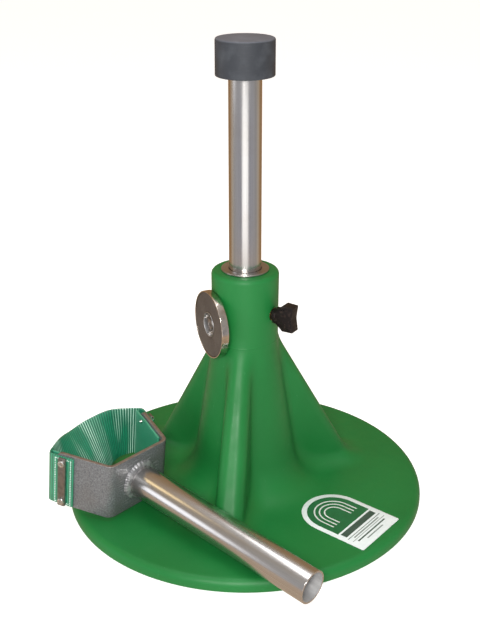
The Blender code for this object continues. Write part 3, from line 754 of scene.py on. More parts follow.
def traced_rows(azimuths):
    """Where a ray from inside the disc, towards each aim and azimuth, leaves the moulding."""
    aims = shell_directions()
    rise = aims[:, 1] - SHELL_CENTRE_Z
    length = np.hypot(aims[:, 0], rise)
    out = (aims[:, 0] / length)[:, None] * np.ones_like(azimuths)
    up = (rise / length)[:, None] * np.ones_like(azimuths)
    cos, sin = np.cos(azimuths)[None, :], np.sin(azimuths)[None, :]
    near, far = np.full_like(out, 0.002), np.full_like(out, 0.320)
    for _ in range(34):
        middle = (near + far) / 2
        reach = middle * out
        inside = base_distance(reach * cos, reach * sin, SHELL_CENTRE_Z + middle * up) < 0.0
        near = np.where(inside, middle, near)
        far = np.where(inside, far, middle)
    reach = near * out
    points = np.stack((reach * cos, reach * sin, SHELL_CENTRE_Z + near * up), axis=-1)
    return sunk_for_magnet(points)


def sunk_for_magnet(points):
    """Flatten the round seat that the cup magnet is bolted to."""
    angle = math.radians(MAGNET_AZIMUTH)
    facing = np.array((math.cos(angle), math.sin(angle), 0.0))
    depth = points @ facing - MAGNET_SEAT
    across = points[..., 1] * facing[0] - points[..., 0] * facing[1]
    radius = np.hypot(across, points[..., 2] - MAGNET_Z)
    share = np.clip((MAGNET_R + 0.0012 - radius) / 0.0024, 0.0, 1.0)
    share = share * share * (3.0 - 2.0 * share)
    return points - (np.maximum(depth, 0.0) * share)[..., None] * facing


def hidden_profile():
    """From the disc's outer top round its rim, under the base, and up inside the tower."""
    line = [(r, disc_top_z(r)) for r in np.linspace(0.1740, DISC_R - RIM_EDGE_R, 10)]
    line += arc((DISC_R - RIM_EDGE_R, RIM_Z - RIM_EDGE_R), RIM_EDGE_R, 90.0, 0.0, 9)[1:]
    line += arc((DISC_R - RIM_FOOT_R, RIM_FOOT_R), RIM_FOOT_R, 0.0, -90.0, 5)
    recess = PLATE_HIGH.x + GAP
    line += [(r, 0.0) for r in np.linspace(DISC_R - 0.0150, recess + 0.0010, 5)]
    line += [(recess, 0.0006), (recess, PLATE_HIGH.z + GAP), (CAVITY_FOOT_R, PLATE_HIGH.z + GAP)]
    line += [(TOWER_FOOT_R - BASE_WALL, TOWER_FOOT_Z - 0.006)]
    line += [(COLLAR_LOW_R - BASE_WALL, SOCKET_FLOOR_Z - 0.004), (BORE_R, SOCKET_FLOOR_Z)]
    line += [(BORE_R, COLLAR_TOP_Z - 0.002)]
    return line


def build_base(green):
    azimuths = shell_azimuths()
    upper = traced_rows(azimuths)
    profile = np.array(hidden_profile())
    cos, sin = np.cos(azimuths), np.sin(azimuths)
    lower = np.stack(
        (profile[:, :1] * cos, profile[:, :1] * sin, profile[:, 1:] * np.ones_like(azimuths)), axis=-1)
    points = np.concatenate((upper, lower))
    rows, columns = points.shape[:2]
    mesh = mesh_from("base_shell", points.reshape(-1, 3), grid_faces(rows, columns, True), 40.0)
    shell = bpy.data.objects.new("base_shell", mesh)
    bpy.context.scene.collection.objects.link(shell)
    hole = rounded([(0.0, 0.1), (CLAMP_INSERT_R + GAP, 0.1), (CLAMP_INSERT_R + GAP, 0.0), (0.0, 0.0)], 0.0)
    carve(shell, turned("clamp_hole", hole, columns=64), radial_frame(KNOB_AZIMUTH, KNOB_Z, BORE_R - GAP))
    shell.data.materials.clear()
    shell.data.materials.append(green)
    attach(shell, "base")
    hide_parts("base_moulding")


def radial_frame(azimuth, height, distance=0.0):
    """A frame on a line out from the post's axis, with +Z outward along it."""
    angle = math.radians(azimuth)
    at = (distance * math.cos(angle), distance * math.sin(angle), height)
    return placed(at, (0.0, 90.0, azimuth))


# ------------------------------------------------------------------ screws
def screw_mesh(name, head_r, head_t, edge, shank_r, length, slot_half, slot_reach, columns=72):
    """A pan-head screw along Z, its seat at zero, with a cross recess and a blunt tip."""
    angles = np.linspace(0.0, 2.0 * math.pi, columns, endpoint=False)
    cos, sin = np.cos(angles), np.sin(angles)
    points, depth = [], 0.60 * head_t
    for radius in np.linspace(head_r * 0.02, head_r - edge, 26):
        x, y = np.abs(radius * cos), np.abs(radius * sin)
        narrow, wide = np.minimum(x, y), np.maximum(x, y)
        inside = np.clip((slot_half - narrow) / (0.22 * slot_half) + 0.5, 0.0, 1.0)
        inside = inside * np.clip((slot_reach - wide) / (0.25 * slot_half) + 0.5, 0.0, 1.0)
        inside = inside * (1.0 - 0.55 * wide / slot_reach)
        dome = head_t - 0.10 * head_t * (radius / head_r) ** 2
        points.extend(ring_points(radius, angles, dome - depth * inside))
    low_edge = head_t * 0.90 - edge
    rim = [*arc((head_r - edge, low_edge), edge, 80.0, 0.0, 5), (head_r, 0.0)]
    rim += [(shank_r, 0.0), (shank_r, -length + shank_r), (0.45 * shank_r, -length)]
    for radius, height in rim:
        points.extend(ring_points(radius, angles, height))
    rows = len(points) // columns
    faces = grid_faces(rows, columns)
    faces.append(tuple(range(columns))[::-1])
    faces.append(tuple(range((rows - 1) * columns, rows * columns)))
    return mesh_from(name, points, faces, 32.0)


# ------------------------------------------------------------------ post
def tube_mesh(name, low, high, steel, scale):
    """The stand's 1.5 inch tube, bright outside and with mill scale in its bore."""
    mesh = pipe(name, POST_R, POST_R - POST_WALL, low, high, 0.0006)
    mesh.materials.append(steel)
    mesh.materials.append(scale)
    for face in mesh.polygons:
        face.material_index = int(math.hypot(face.center.x, face.center.y) < POST_R - 0.95 * POST_WALL)
    return mesh


def build_post(steel, scale, rubber, ring_steel):
    tube = tube_mesh("post_steel", POST_LOW.z, POST_HIGH.z, steel, scale)
    show("post_steel", tube, steel, "post", stands_for=["post_tube"])
    low, high = CAP_LOW.z, CAP_HIGH.z
    bore = POST_R + GAP
    corners = [(0.0, high), (CAP_R, high), (CAP_R, low), (bore, low), (bore, high - CAP_CROWN),
               (0.0, high - CAP_CROWN)]
    cap = turned("cap_rubber", rounded(corners, (0.0, 0.0026, 0.0014, 0.0006, 0.0008, 0.0), 6, closed=False))
    show("cap_rubber", cap, rubber, "post", stands_for=["post_cap"])
    ring = [(RING_HIGH.x, RING_HIGH.z), (RING_HIGH.x, RING_LOW.z), (SLEEVE_BORE_R, RING_LOW.z),
            (SLEEVE_BORE_R, RING_HIGH.z)]
    mouth = turned("mouth_steel", rounded(ring, (0.0009, 0.0002, 0.0002, 0.0005), 4), closed=True)
    show("mouth_steel", mouth, ring_steel, "swivel_ring", stands_for=["mouth_ring"])


# ------------------------------------------------------------------ clamp
def knob_outline():
    """Hub shoulders, then wings that flare to a slightly dished outer face."""
    far = KNOB_START + KNOB_LENGTH
    right = [
        (KNOB_HUB_R, KNOB_START),
        (KNOB_HUB_R, KNOB_START + KNOB_SHOULDER),
        (KNOB_HALF_SPAN, far - KNOB_WING_EDGE),
        (KNOB_HALF_SPAN - KNOB_TAPER, far),
    ]
    dish = [(0.0, far - KNOB_DISH)]
    left = [(-x, z) for x, z in right[::-1]]
    radii = [0.0012, 0.0012, 0.0010, 0.0010]
    return rounded([(x, -z) for x, z in right + dish + left], radii + [0.02] + radii[::-1], 5)


def threaded_mesh(name, radius, low, high):
    """A rod with a real helical thread."""
    columns, depth = 48, 0.0005
    angles = np.linspace(0.0, 2.0 * math.pi, columns, endpoint=False)
    heights = np.arange(low, high, THREAD_PITCH / 8)
    points = []
    for height in heights:
        phase = 2.0 * math.pi * height / THREAD_PITCH - angles
        reach = radius - depth * (0.5 + 0.5 * np.cos(phase))
        points.extend(ring_points(reach, angles, height))
    rows = len(heights)
    faces = grid_faces(rows, columns)
    faces += [tuple(range(columns))[::-1], tuple(range((rows - 1) * columns, rows * columns))]
    return mesh_from(name, points, faces, 60.0)


def build_clamp(grip, steel, brass):
    axis = radial_frame(KNOB_AZIMUTH, KNOB_Z)
    flat = axis @ placed((0.0, 0.0, 0.0), (-90.0, 0.0, 0.0))
    wings = slab("knob_wings", knob_outline(), KNOB_HALF_THICK, 0.0009, 4)
    show("knob_wings", wings, grip, "knob", flat, ["clamp_knob"])
    hub = [(STUD_R + GAP, KNOB_START - 0.0008), (KNOB_HUB_R, KNOB_START - 0.0008),
           (KNOB_HUB_R, KNOB_START + KNOB_SHOULDER), (STUD_R + GAP, KNOB_START + KNOB_SHOULDER)]
    boss = turned("knob_boss", rounded(hub, (0.0004, 0.0010, 0.0012, 0.0004), 4), closed=True, columns=64)
    show("knob_boss", boss, grip, "knob", axis)
    stud_from = POST_R + 2 * GAP + PAD_T
    stud = threaded_mesh("stud_thread", STUD_R, stud_from, KNOB_START + STUD_IN_KNOB)
    show("stud_thread", stud, steel, "knob", axis, ["clamp_stud"])
    bush = pipe("clamp_bush", CLAMP_INSERT_R, STUD_R + GAP, INSERT_FROM, COLLAR_LOW_R - 0.0002, 0.0003)
    show("clamp_bush", bush, brass, "base", axis, ["clamp_insert"])


# ------------------------------------------------------------------ magnet
def build_magnet(chrome, ferrite, steel, recess_shade_steel):
    axis = radial_frame(MAGNET_AZIMUTH, MAGNET_Z, MAGNET_SEAT + GAP)
    inner = MAGNET_R - MAGNET_RIM_T
    cup = [(MAGNET_R, MAGNET_T), (MAGNET_R, 0.0), (MAGNET_HOLE_R, 0.0), (MAGNET_HOLE_R, MAGNET_BACK_T),
           (inner, MAGNET_BACK_T), (inner, MAGNET_T)]
    shell = turned("magnet_cup_chrome", rounded(cup, (0.0007, 0.0018, 0.0, 0.0, 0.0, 0.0005), 5), closed=True)
    show("magnet_cup_chrome", shell, chrome, "base", axis, ["magnet_cup"])
    floor = MAGNET_BACK_T + GAP
    ring = pipe("magnet_face", inner - GAP, MAGNET_HUB_R + GAP, floor, MAGNET_T - 0.0005, 0.0006)
    show("magnet_face", ring, ferrite, "base", axis, ["magnet_ring"])
    hub = pipe("magnet_sleeve", MAGNET_HUB_R, MAGNET_HUB_R - MAGNET_HUB_T, floor, MAGNET_T - GAP, 0.0003)
    show("magnet_sleeve", hub, steel, "base", axis, ["magnet_hub"])
    head = floor + WASHER_T + GAP
    # painted shade: the washer and screw deep in the hub take dark dull steel so the recess reads dark
    washer = pipe("magnet_washer_plain", WASHER_R, MAGNET_HOLE_R, floor, head - GAP, 0.0003)
    show("magnet_washer_plain", washer, recess_shade_steel, "base", axis, ["magnet_washer"])
    bolt = screw_mesh("magnet_screw", 0.0068, 0.0034, 0.0012, 0.0040, head + BOLT_L, 0.0010, 0.0038)
    at = axis @ Matrix.Translation((0.0, 0.0, head))
    show("magnet_screw", bolt, recess_shade_steel, "base", at, ["magnet_bolt"])


# ------------------------------------------------------------------ label
def label_frame():
    angle = math.radians(LABEL_AZIMUTH)
    outward = LABEL_OUTER - LABEL_L / 2
    x = outward * math.cos(angle) - LABEL_SHIFT * math.sin(angle)
    y = outward * math.sin(angle) + LABEL_SHIFT * math.cos(angle)
    slope = math.degrees(math.atan(DISC_RISE / (DISC_R - RIM_EDGE_R - DISC_INNER_R)))
    z = float(disc_top_z(math.hypot(x, y))) + LABEL_T / 2 + GAP
    return placed((x, y, z), (0.0, slope, LABEL_AZIMUTH))


def arch_outline(inset, foot, steps=28):
    """The label's own outline, set in all round, with its straight foot at the given place."""
    half = LABEL_W / 2 - inset
    return [(foot, half), *arc((LABEL_W / 2 - LABEL_L / 2, 0.0), half, 90.0, 270.0, steps), (foot, -half)]


def bar_outline(left, right, low, high):
    return [(left, low), (right, low), (right, high), (left, high)]


def arch_line(centre, radius, width, leg):
    """One plain line that follows the label's arched end and runs on down both sides."""
    outer = [(centre + leg, radius), *arc((centre, 0.0), radius, 90.0, 270.0, 26), (centre + leg, -radius)]
    near = radius - width
    inner = [(centre + leg, -near), *arc((centre, 0.0), near, 270.0, 90.0, 26), (centre + leg, near)]
    return outer + inner


def build_label(film, green_ink, white_ink, dark_ink, grey_ink):
    place = label_frame()
    edge = LABEL_L / 2
    outline = rounded(arch_outline(0.0, edge), [0.0025] + [0.0] * 29 + [0.0025], 5)
    show("label_film", slab("label_film", outline, LABEL_T / 2, 0.00012, 2), film, "base",
         place, ["label"])

    def ink(name, material, outlines, level):
        """Print as thin closed slabs that lie on the film."""
        lift = place @ Matrix.Translation((0.0, 0.0, LABEL_T / 2 + level))
        bm = bmesh.new()
        for shape in outlines:
            part = slab(name, shape, 0.00006, 0.0)
            bm.from_mesh(part)
            bpy.data.meshes.remove(part)
        mesh = bpy.data.meshes.new(name)
        bm.to_mesh(mesh)
        bm.free()
        show(name, mesh, material, "base", lift)

    def across(low, high, share):
        """A bar between two shares of the label's length, over a share of its width."""
        half = share * LABEL_W / 2
        return bar_outline(-edge + low * LABEL_L, -edge + high * LABEL_L, -half, half)

    ink("label_panel", green_ink, [arch_outline(0.0062, -edge + 0.63 * LABEL_L)], 0.00008)
    middle = LABEL_W / 2 - edge
    lines = [arch_line(middle, radius, 0.0017, 0.0150) for radius in (0.0250, 0.0190, 0.0130)]
    ink("label_arches", white_ink, lines, 0.00022)
    ink("label_bars", dark_ink, [across(0.655, 0.735, 0.80), across(0.765, 0.773, 0.86),
                                 across(0.860, 0.878, 0.72)], 0.00008)
    ink("label_lines", grey_ink, [across(0.793, 0.810, 0.66), across(0.828, 0.836, 0.86),
                                  across(0.908, 0.924, 0.42)], 0.00008)


# ------------------------------------------------------------------ cradle
CRADLE = placed(CRADLE_AT, CRADLE_TURN)


def arm_point(side, distance, offset):
    """A point by one arm: distance from the web's corner, and offset out of its outer face."""
    flare = math.radians(YOKE_FLARE)
    along = Vector((-math.cos(flare), side * math.sin(flare)))
    outward = Vector((math.sin(flare), side * math.cos(flare)))
    return Vector((0.0, side * YOKE_W / 2)) + along * distance + outward * offset


def arm_screw_frame(side, offset, level):
    at = arm_point(side, CLIP_ALONG, offset)
    return CRADLE @ placed((at.x, at.y, level), (0.0, 90.0, side * (90.0 - YOKE_FLARE)))


def yoke_path():
    """Middle line of the flat bar, from the left arm's end to the right one's."""
    turn = 90.0 - YOKE_FLARE
    reach = BEND_R * math.tan(math.radians(turn / 2))
    radius = BEND_R - BAR_T / 2
    path = [arm_point(-1, ARM_L, -BAR_T / 2)]
    path += arc((-BEND_R, -(YOKE_W / 2 - reach)), radius, -turn, 0.0, 16)
    path += arc((-BEND_R, YOKE_W / 2 - reach), radius, 0.0, turn, 16)
    path.append(arm_point(1, ARM_L, -BAR_T / 2))
    return path


def build_yoke(enamel, bare):
    _, points, normals = stations(yoke_path(), 0.0012)
    rings = []
    run = np.concatenate(([0.0], np.cumsum(np.linalg.norm(np.diff(points, axis=0), axis=1))))
    ends = ARM_CORNER_R * (1.0 - np.cos(np.linspace(0.0, math.pi / 2, 12)))
    edges = BAR_EDGE * np.array((0.0, 0.3, 1.0))
    extra = np.unique(np.concatenate((ends, edges)))
    at = np.unique(np.concatenate((extra, run[run > ARM_CORNER_R], run[-1] - extra)))
    at = at[(at <= run[-1] - ARM_CORNER_R) | np.isin(at, run[-1] - extra)]
    for place in at:
        centre = [np.interp(place, run, points[:, k]) for k in (0, 1)]
        normal = Vector([np.interp(place, run, normals[:, k]) for k in (0, 1)]).normalized()
        from_end = min(place, run[-1] - place)
        corner = max(ARM_CORNER_R - from_end, 0.0)
        half_h = BAR_H / 2 - ARM_CORNER_R + math.sqrt(ARM_CORNER_R ** 2 - corner ** 2)
        bevel = max(BAR_EDGE - from_end, 0.0)
        half_t = BAR_T / 2 - BAR_EDGE + math.sqrt(BAR_EDGE ** 2 - bevel ** 2)
        outline = strip_outline(half_t, half_h, BAR_EDGE, 2)
        rings.append([(centre[0] + normal.x * t, centre[1] + normal.y * t, h) for t, h in outline])
    mesh = loft("yoke_bar", rings)
    mesh.materials.append(enamel)
    mesh.materials.append(bare)
    for face in mesh.polygons:
        face.material_index = int(abs(face.normal.z) > 0.75)
    show("yoke_bar", mesh, enamel, "cradle", CRADLE, ["cradle_yoke"])


def build_stem(steel, scale, weld):
    along = CRADLE @ placed((0.0, 0.0, 0.0), (0.0, 90.0, 0.0))
    tube = tube_mesh("stem_tube", GAP, STEM_L, steel, scale)
    show("stem_tube", tube, steel, "cradle", along, ["cradle_stem"])

    def beads(radius, height, angles):
        """Overlapping beads, larger toward the outside of the fillet."""
        share = np.clip((radius - POST_R) / WELD_LEG, 0.0, 1.0)
        ripple = np.abs(np.sin(19.0 * angles + 2.0 * np.sin(3.0 * angles)))
        lump = 0.35 * np.sin(5.0 * angles + 0.7) + 0.30 * np.sin(8.0 * angles + height * 400.0)
        return WELD_LEG * share * (0.22 * ripple + 0.16 * lump)

    profile = [(POST_R + 0.0001, WELD_LEG + GAP)]
    profile += arc((POST_R + 0.0002, GAP + 0.0002), WELD_LEG * 0.86, 82.0, 6.0, 9)
    profile += [(POST_R + WELD_LEG, 0.0001), (POST_R + 0.0001, 0.0001)]
    bead = turned("weld_bead", profile, closed=True, columns=256, sharp=70.0, wobble=beads)
    show("weld_bead", bead, weld, "cradle", along, ["stem_weld"])


def smooth_path(points, per_span):
    """A Catmull-Rom curve through the points."""
    ends = [points[0] * 2 - points[1], *points, points[-1] * 2 - points[-2]]
    path = []
    for i in range(len(points) - 1):
        p0, p1, p2, p3 = ends[i:i + 4]
        for step in range(per_span):
            t = step / per_span
            path.append(0.5 * (2 * p1 + (p2 - p0) * t + (2 * p0 - 5 * p1 + 4 * p2 - p3) * t * t
                               + (3 * p1 - p0 - 3 * p2 + p3) * t ** 3))
    path.append(points[-1])
    return path


def sling_path():
    """Outer tail, loop round the left arm, free span, loop round the right arm, outer tail."""
    lie = GAP + SLING_T / 2
    bow = [Vector(point) for point in SLING_BOW]
    free = smooth_path([arm_point(-1, ARM_L - 0.001, lie), *bow, arm_point(1, ARM_L - 0.001, lie)], 24)
    return [arm_point(-1, TAIL_FROM, lie), *free, arm_point(1, TAIL_FROM, lie)]


def leaned(x, y, level):
    """Tip the free span's top outward and its bottom inward, most of all near the left arm."""
    side = y / SLING_LEAN_Y
    past_arms = min(max((SLING_LEAN_X - x) / SLING_LEAN_BLEND, 0.0), 1.0)
    share = past_arms * max(1.0 - side ** 2, 0.0) ** 1.5 * (1.0 - SLING_LEAN_SKEW * side)
    upright = math.sqrt(1.0 - (2 * SLING_LEAN * share / SLING_H) ** 2)
    shift = share * (SLING_LEAN * level / (SLING_H / 2) - SLING_SINK)
    return x - shift, y, level * upright


def strap_mesh(name, path, half_height, ribs, hem, spacing):
    """Webbing along a plane path, with its run and height kept as a flat map called strap."""
    at, points, normals = stations(path, spacing)
    total = at[-1]
    face_steps = 9
    rings, outline_runs = [], []
    for run, point, normal in zip(at, points, normals):
        from_end = min(run, total - run)
        wave = 0.5 - 0.5 * math.cos(2.0 * math.pi * run / WEB_RIB_PITCH)
        on_tail = min(max((from_end - 0.020) / 0.012, 0.08), 1.0)
        swell = HEM_SWELL * hem * max(0.0, min(1.0, (HEM_L - from_end) / 0.0012))
        half_t = SLING_T / 2 * (1.0 - ribs * WEB_RIB_DEPTH * wave * on_tail) + swell
        half_t *= min(1.0, 0.55 + from_end / 0.0016)
        sway = 0.00035 * math.sin(run * 61.0) + 0.0002 * math.sin(run * 171.0 + 1.3)
        outline = strip_outline(half_t, half_height, 0.0010, face_steps)
        ring = [(point[0] + normal[0] * t, point[1] + normal[1] * t, h + sway) for t, h in outline]
        rings.append([leaned(x, y, h) for x, y, h in ring])
        outline_runs.append([h for _, h in outline])
    mesh = loft(name, rings, 60.0)
    columns = len(rings[0])
    flat = mesh.uv_layers.new(name="strap")
    heights = [h for row in outline_runs for h in row]
    for loop in mesh.loops:
        flat.data[loop.index].uv = (at[loop.vertex_index // columns], heights[loop.vertex_index])
    return mesh, total


def stitch_mesh(bm, centre, along, outward):
    """One raised stitch: a short pod that lies along its seam."""
    side = outward.cross(along).normalized()
    steps, columns = 5, 6
    rings = []
    for i in range(1, steps):
        angle = math.pi * i / steps
        middle = centre + along * (-math.cos(angle) * STITCH_L / 2)
        reach = STITCH_R * math.sin(angle)
        ring = []
        for j in range(columns):
            turn = 2.0 * math.pi * j / columns
            offset = side * (reach * math.cos(turn)) + outward * (reach * math.sin(turn))
            ring.append(bm.verts.new(middle + offset))
        rings.append(ring)
    for first, second in zip(rings, rings[1:]):
        for j in range(columns):
            k = (j + 1) % columns
            bm.faces.new((first[j], first[k], second[k], second[j]))
    bm.faces.new(rings[0][::-1])
    bm.faces.new(rings[-1])


def tail_stitches(side):
    """Seams round the tail that is folded back over one arm's outer face."""
    bm = bmesh.new()
    flare = math.radians(YOKE_FLARE)
    along = Vector((-math.cos(flare), side * math.sin(flare), 0.0))
    outward = Vector((math.sin(flare), side * math.cos(flare), 0.0))
    up = Vector((0.0, 0.0, 1.0))
    surface = GAP + SLING_T

    def at(distance, level, lift):
        point = arm_point(side, distance, surface + lift)
        return Vector((point.x, point.y, level))

    top = SLING_H / 2 - 0.0030
    first, last = TAIL_FROM + 0.0030, ARM_L - 0.0010
    for level in np.arange(-top, top + 0.0001, STITCH_PITCH):
        stitch_mesh(bm, at(first, level, HEM_SWELL), up, outward)
        stitch_mesh(bm, at(last, level, 0.0), up, outward)
    for distance in np.arange(first + STITCH_PITCH, last - STITCH_PITCH / 2, STITCH_PITCH):
        for level in (-top, top):
            stitch_mesh(bm, at(distance, level, 0.0), along, outward)
    bmesh.ops.recalc_face_normals(bm, faces=bm.faces)
    return mesh_of(bm, f"stitches_{side}", 80.0)


def build_sling(web, lining, thread):
    for side, name in ((-1, "left"), (1, "right")):
        mesh = tail_stitches(side)
        show(f"stitches_{name}", mesh, thread, "cradle", CRADLE)
    mesh, length = strap_mesh("sling_strap", sling_path(), SLING_H / 2, 1.0, 1.0, WEB_STEP)
    strap = show("sling_strap", mesh, web, "cradle", CRADLE, ["sling"])
    under = -BAR_T - GAP - SLING_T / 2
    for side, name in ((-1, "left"), (1, "right")):
        path = [arm_point(side, LINING_FROM, under), arm_point(side, LINING_TO - 0.0020, under)]
        mesh, length = strap_mesh(f"lining_{name}", path, SLING_H / 2 - 0.0008, 0.0, 0.0, 0.0010)
        strip = show(f"lining_{name}", mesh, lining, "cradle", CRADLE)


def build_clips(bar_steel, screw_steel):
    number = 0
    for side, name in ((-1, "left"), (1, "right")):
        outline = rounded(bar_outline(-CLIP_L / 2, CLIP_L / 2, -CLIP_W / 2, CLIP_W / 2), 0.0012, 4)
        where = arm_screw_frame(side, 2 * GAP + SLING_T + CLIP_T / 2, 0.0)
        clip = slab(f"clip_{name}", outline, CLIP_T / 2, 0.0004, 2)
        show(f"clip_{name}", clip, bar_steel, "cradle", where, [f"sling_clip_{name}"])
        for level in (-SCREW_SPREAD, SCREW_SPREAD):
            number += 1
            through = BAR_T + 2 * SLING_T + CLIP_T + 0.0035
            mesh = screw_mesh(f"clip_screw_{number}", SCREW_HEAD_R, SCREW_HEAD_T, 0.0010, SCREW_R, through,
                              0.00055, 0.0026)
            seat = arm_screw_frame(side, 3 * GAP + SLING_T + CLIP_T, level)
            show(f"clip_screw_{number}", mesh, screw_steel, "cradle", seat,
                 [f"sling_screw_{number}"])


# ------------------------------------------------------------------ carried-over CAD nodes
def finish_nodes(finishes):
    for name, material in finishes.items():
        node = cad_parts[name]
        node.data.materials.clear()
        node.data.materials.append(material)


# ------------------------------------------------------------------ stage
CAMERA_AZIMUTH = math.radians(8.8)
TOWARDS_CAMERA = (math.sin(CAMERA_AZIMUTH), -math.cos(CAMERA_AZIMUTH), 0.0)


def area_light(name, at, towards, size, power, colour=(1.0, 1.0, 1.0)):
    data = bpy.data.lights.new(name, "AREA")
    data.shape = "RECTANGLE"
    data.size, data.size_y = size
    data.energy = power
    data.color = colour
    light = bpy.data.objects.new(name, data)
    light.location = at
    light.rotation_mode = "QUATERNION"
    light.rotation_quaternion = (Vector(towards) - Vector(at)).to_track_quat("-Z", "Y")
    bpy.context.scene.collection.objects.link(light)


def build_floor():
    """A pale floor. Glossy rays meet a dimmer painted room: brown behind, a bright strip ahead."""
    made = Finish("pale_floor", (0.88, 0.88, 0.88), 0.80, Specular_IOR_Level=0.05,
                  Emission_Color=(1.0, 1.0, 1.0, 1.0), Emission_Strength=0.60)
    cloud = made.ranged(made.noise(1.2, 3.0), 0.3, 0.7)
    made.coloured(made.blend(cloud, (0.875, 0.875, 0.875), (0.885, 0.885, 0.885)))
    outward = made.node("VectorMath", {"operation": "NORMALIZE"}, Vector=made.place).outputs["Vector"]
    far = made.ramp(made.ranged(made.facing(outward, TOWARDS_CAMERA), -1.0, 1.0), [
        (0.00, (0.20, 0.115, 0.052)), (0.26, (0.21, 0.125, 0.060)), (0.40, (0.34, 0.29, 0.23)),
        (0.55, (0.21, 0.20, 0.195)), (0.80, (0.24, 0.24, 0.26)), (0.955, (0.20, 0.20, 0.225)),
        (0.984, (1.0, 1.0, 1.0)),
    ])
    near = made.ranged(made.length(), 0.50, 0.75, 1.0, 0.0)
    painted = made.node("Emission", Strength=1.9, Color=made.blend(near, far, (0.32, 0.245, 0.18)))
    glossy = made.node("LightPath").outputs["Is Glossy Ray"]
    seen = made.choose(glossy, made.shader.outputs[0], painted.outputs[0])
    clear = made.node("BsdfTransparent").outputs[0]
    both = made.choose(made.node("NewGeometry").outputs["Backfacing"], seen, clear)
    made.fill(made.tree.nodes["Material Output"], Surface=both)
    reach = 8.0
    corners = [(-reach, -reach, 0.0), (reach, -reach, 0.0), (reach, reach, 0.0), (-reach, reach, 0.0)]
    mesh = bpy.data.meshes.new("floor")
    mesh.from_pydata(corners, [], [(0, 1, 2, 3)])
    mesh.materials.append(made.material)
    floor = bpy.data.objects.new("floor", mesh)
    floor.location.z = cad_low.z - 0.0002
    bpy.context.scene.collection.objects.link(floor)


def build_world():
    """White to the camera. All else meets a brown and grey room, with a window and a lamp at the left."""
    world = bpy.data.worlds.new("studio")
    world.use_nodes = True
    bpy.context.scene.world = world
    made = Nodes(world.node_tree, "Generated")
    level = made.ramp(made.ranged(made.facing(made.place, TOWARDS_CAMERA), -1.0, 1.0), [
        (0.00, (0.40, 0.25, 0.13)), (0.25, (0.50, 0.34, 0.19)), (0.47, (0.52, 0.43, 0.33)),
        (0.80, (0.50, 0.50, 0.51)), (1.00, (0.62, 0.62, 0.63)),
    ])
    shown = made.blend(made.ranged(made.axis("Z"), 0.78, 0.97), level, (0.78, 0.78, 0.80))
    for towards, outer, inner, colour in (
            ((-0.935, -0.325, 0.140), 0.962, 0.988, (2.3, 2.35, 2.5)),
            ((-0.694, 0.064, 0.716), 0.9880, 0.9980, (3.2, 2.5, 1.4))):
        shown = made.blend(made.ranged(made.facing(made.place, towards), outer, inner), shown, colour)
    room = made.tree.nodes["Background"]
    made.fill(room, Color=shown, Strength=0.85)
    white = made.node("Background", Color=(1.0, 1.0, 1.0, 1.0), Strength=1.0)
    to_camera = made.node("LightPath").outputs["Is Camera Ray"]
    surface = made.choose(to_camera, room.outputs[0], white.outputs[0])
    made.fill(made.tree.nodes["World Output"], Surface=surface)


def build_camera():
    """The photograph's view: a level 60.5 mm lens, 19.4 degrees down, framed a little low."""
    pitch = math.radians(19.37)
    distance, height = 1.1875, 0.7453
    data = bpy.data.cameras.new("camera")
    data.sensor_width = 36.0
    data.lens = 60.54
    data.shift_x = -0.0081
    data.shift_y = -0.125
    data.clip_start, data.clip_end = 0.02, 50.0
    camera = bpy.data.objects.new("camera", data)
    camera.location = (distance * TOWARDS_CAMERA[0], distance * TOWARDS_CAMERA[1], height)
    camera.rotation_euler = (math.pi / 2 - pitch, 0.0, CAMERA_AZIMUTH)
    bpy.context.scene.collection.objects.link(camera)
    bpy.context.scene.camera = camera


def build_stage():
    build_floor()
    build_world()
    middle = (0.0, 0.0, 0.22)
    area_light("key", (0.10, -1.60, 1.10), middle, (0.40, 0.40), 24.0, (1.0, 0.99, 0.97))
    area_light("top", (0.0, -0.1, 2.2), middle, (1.2, 1.2), 12.0)
    bpy.context.scene.view_settings.view_transform = "Standard"


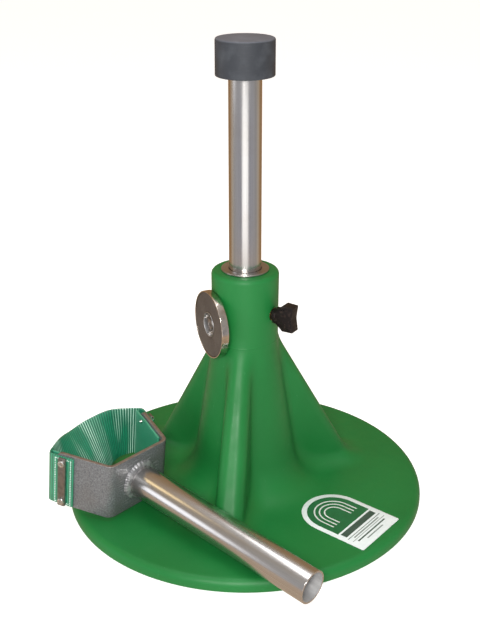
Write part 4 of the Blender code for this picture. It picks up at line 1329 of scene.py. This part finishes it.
# ------------------------------------------------------------------ the whole object
def main():
    post_steel = drawn_steel("tube_drawn", (0.62, 0.60, 0.585), 0.23)
    scale = mill_scale()
    zinc = plated_steel("zinc_plate", (0.70, 0.69, 0.67), 0.24)
    chrome = plated_steel("chrome_plate", (0.62, 0.55, 0.48), 0.08)
    brass = plated_steel("brass_turned", (0.30, 0.21, 0.11), 0.36)
    # dull steel: the clips' and foot plate's own finish, and painted shade on the washer and screw in the
    # magnet's recess
    dull = plated_steel("mill_steel", (0.30, 0.28, 0.27), 0.40)
    sleeve = turned_steel("sleeve_turned", (0.60, 0.61, 0.63), 0.34)
    green = moulded_plastic("green_moulding", (0.009, 0.178, 0.036), (0.007, 0.152, 0.029), (0.08, 0.30, 0.13))

    build_base(green)
    build_post(post_steel, scale, hard_rubber(), turned_steel("mouth_turned", (0.50, 0.47, 0.45), 0.30))
    build_clamp(black_grip(), zinc, brass)
    build_magnet(chrome, sintered_ferrite(), sleeve, dull)
    film = printed_film("film", (0.78, 0.84, 0.84), (0.72, 0.79, 0.79), 0.45, 0.1)
    green_ink = printed_film("ink_green", (0.006, 0.120, 0.034), (0.009, 0.140, 0.042), 0.5, 0.0)
    white_ink = printed_film("ink_white", (0.74, 0.78, 0.75), (0.66, 0.71, 0.68))
    dark_ink = printed_film("ink_dark", (0.035, 0.075, 0.055), (0.05, 0.095, 0.07), 0.5, 0.0)
    grey_ink = printed_film("ink_grey", (0.22, 0.27, 0.25), (0.27, 0.32, 0.30), 0.5, 0.0)
    build_label(film, green_ink, white_ink, dark_ink, grey_ink)
    build_yoke(hammer_enamel(), sawn_edge())
    build_stem(post_steel, scale, weld_metal())
    web = woven_web("webbing", (0.001, 0.085, 0.045), (0.006, 0.270, 0.130), (0.06, 0.46, 0.28), True)
    lining = woven_web("lining_web", (0.015, 0.22, 0.12), (0.035, 0.300, 0.170), (0.09, 0.42, 0.27), False)
    build_sling(web, lining, sewing_thread())
    build_clips(dull, zinc)
    finish_nodes({
        "guide_sleeve": sleeve, "foot_plate": dull, "clamp_pad": brass, "magnet_insert": brass,
        "foot_screw_1": zinc, "foot_screw_2": zinc, "foot_screw_3": zinc, "foot_screw_4": zinc,
    })
    build_stage()
    build_camera()


main()
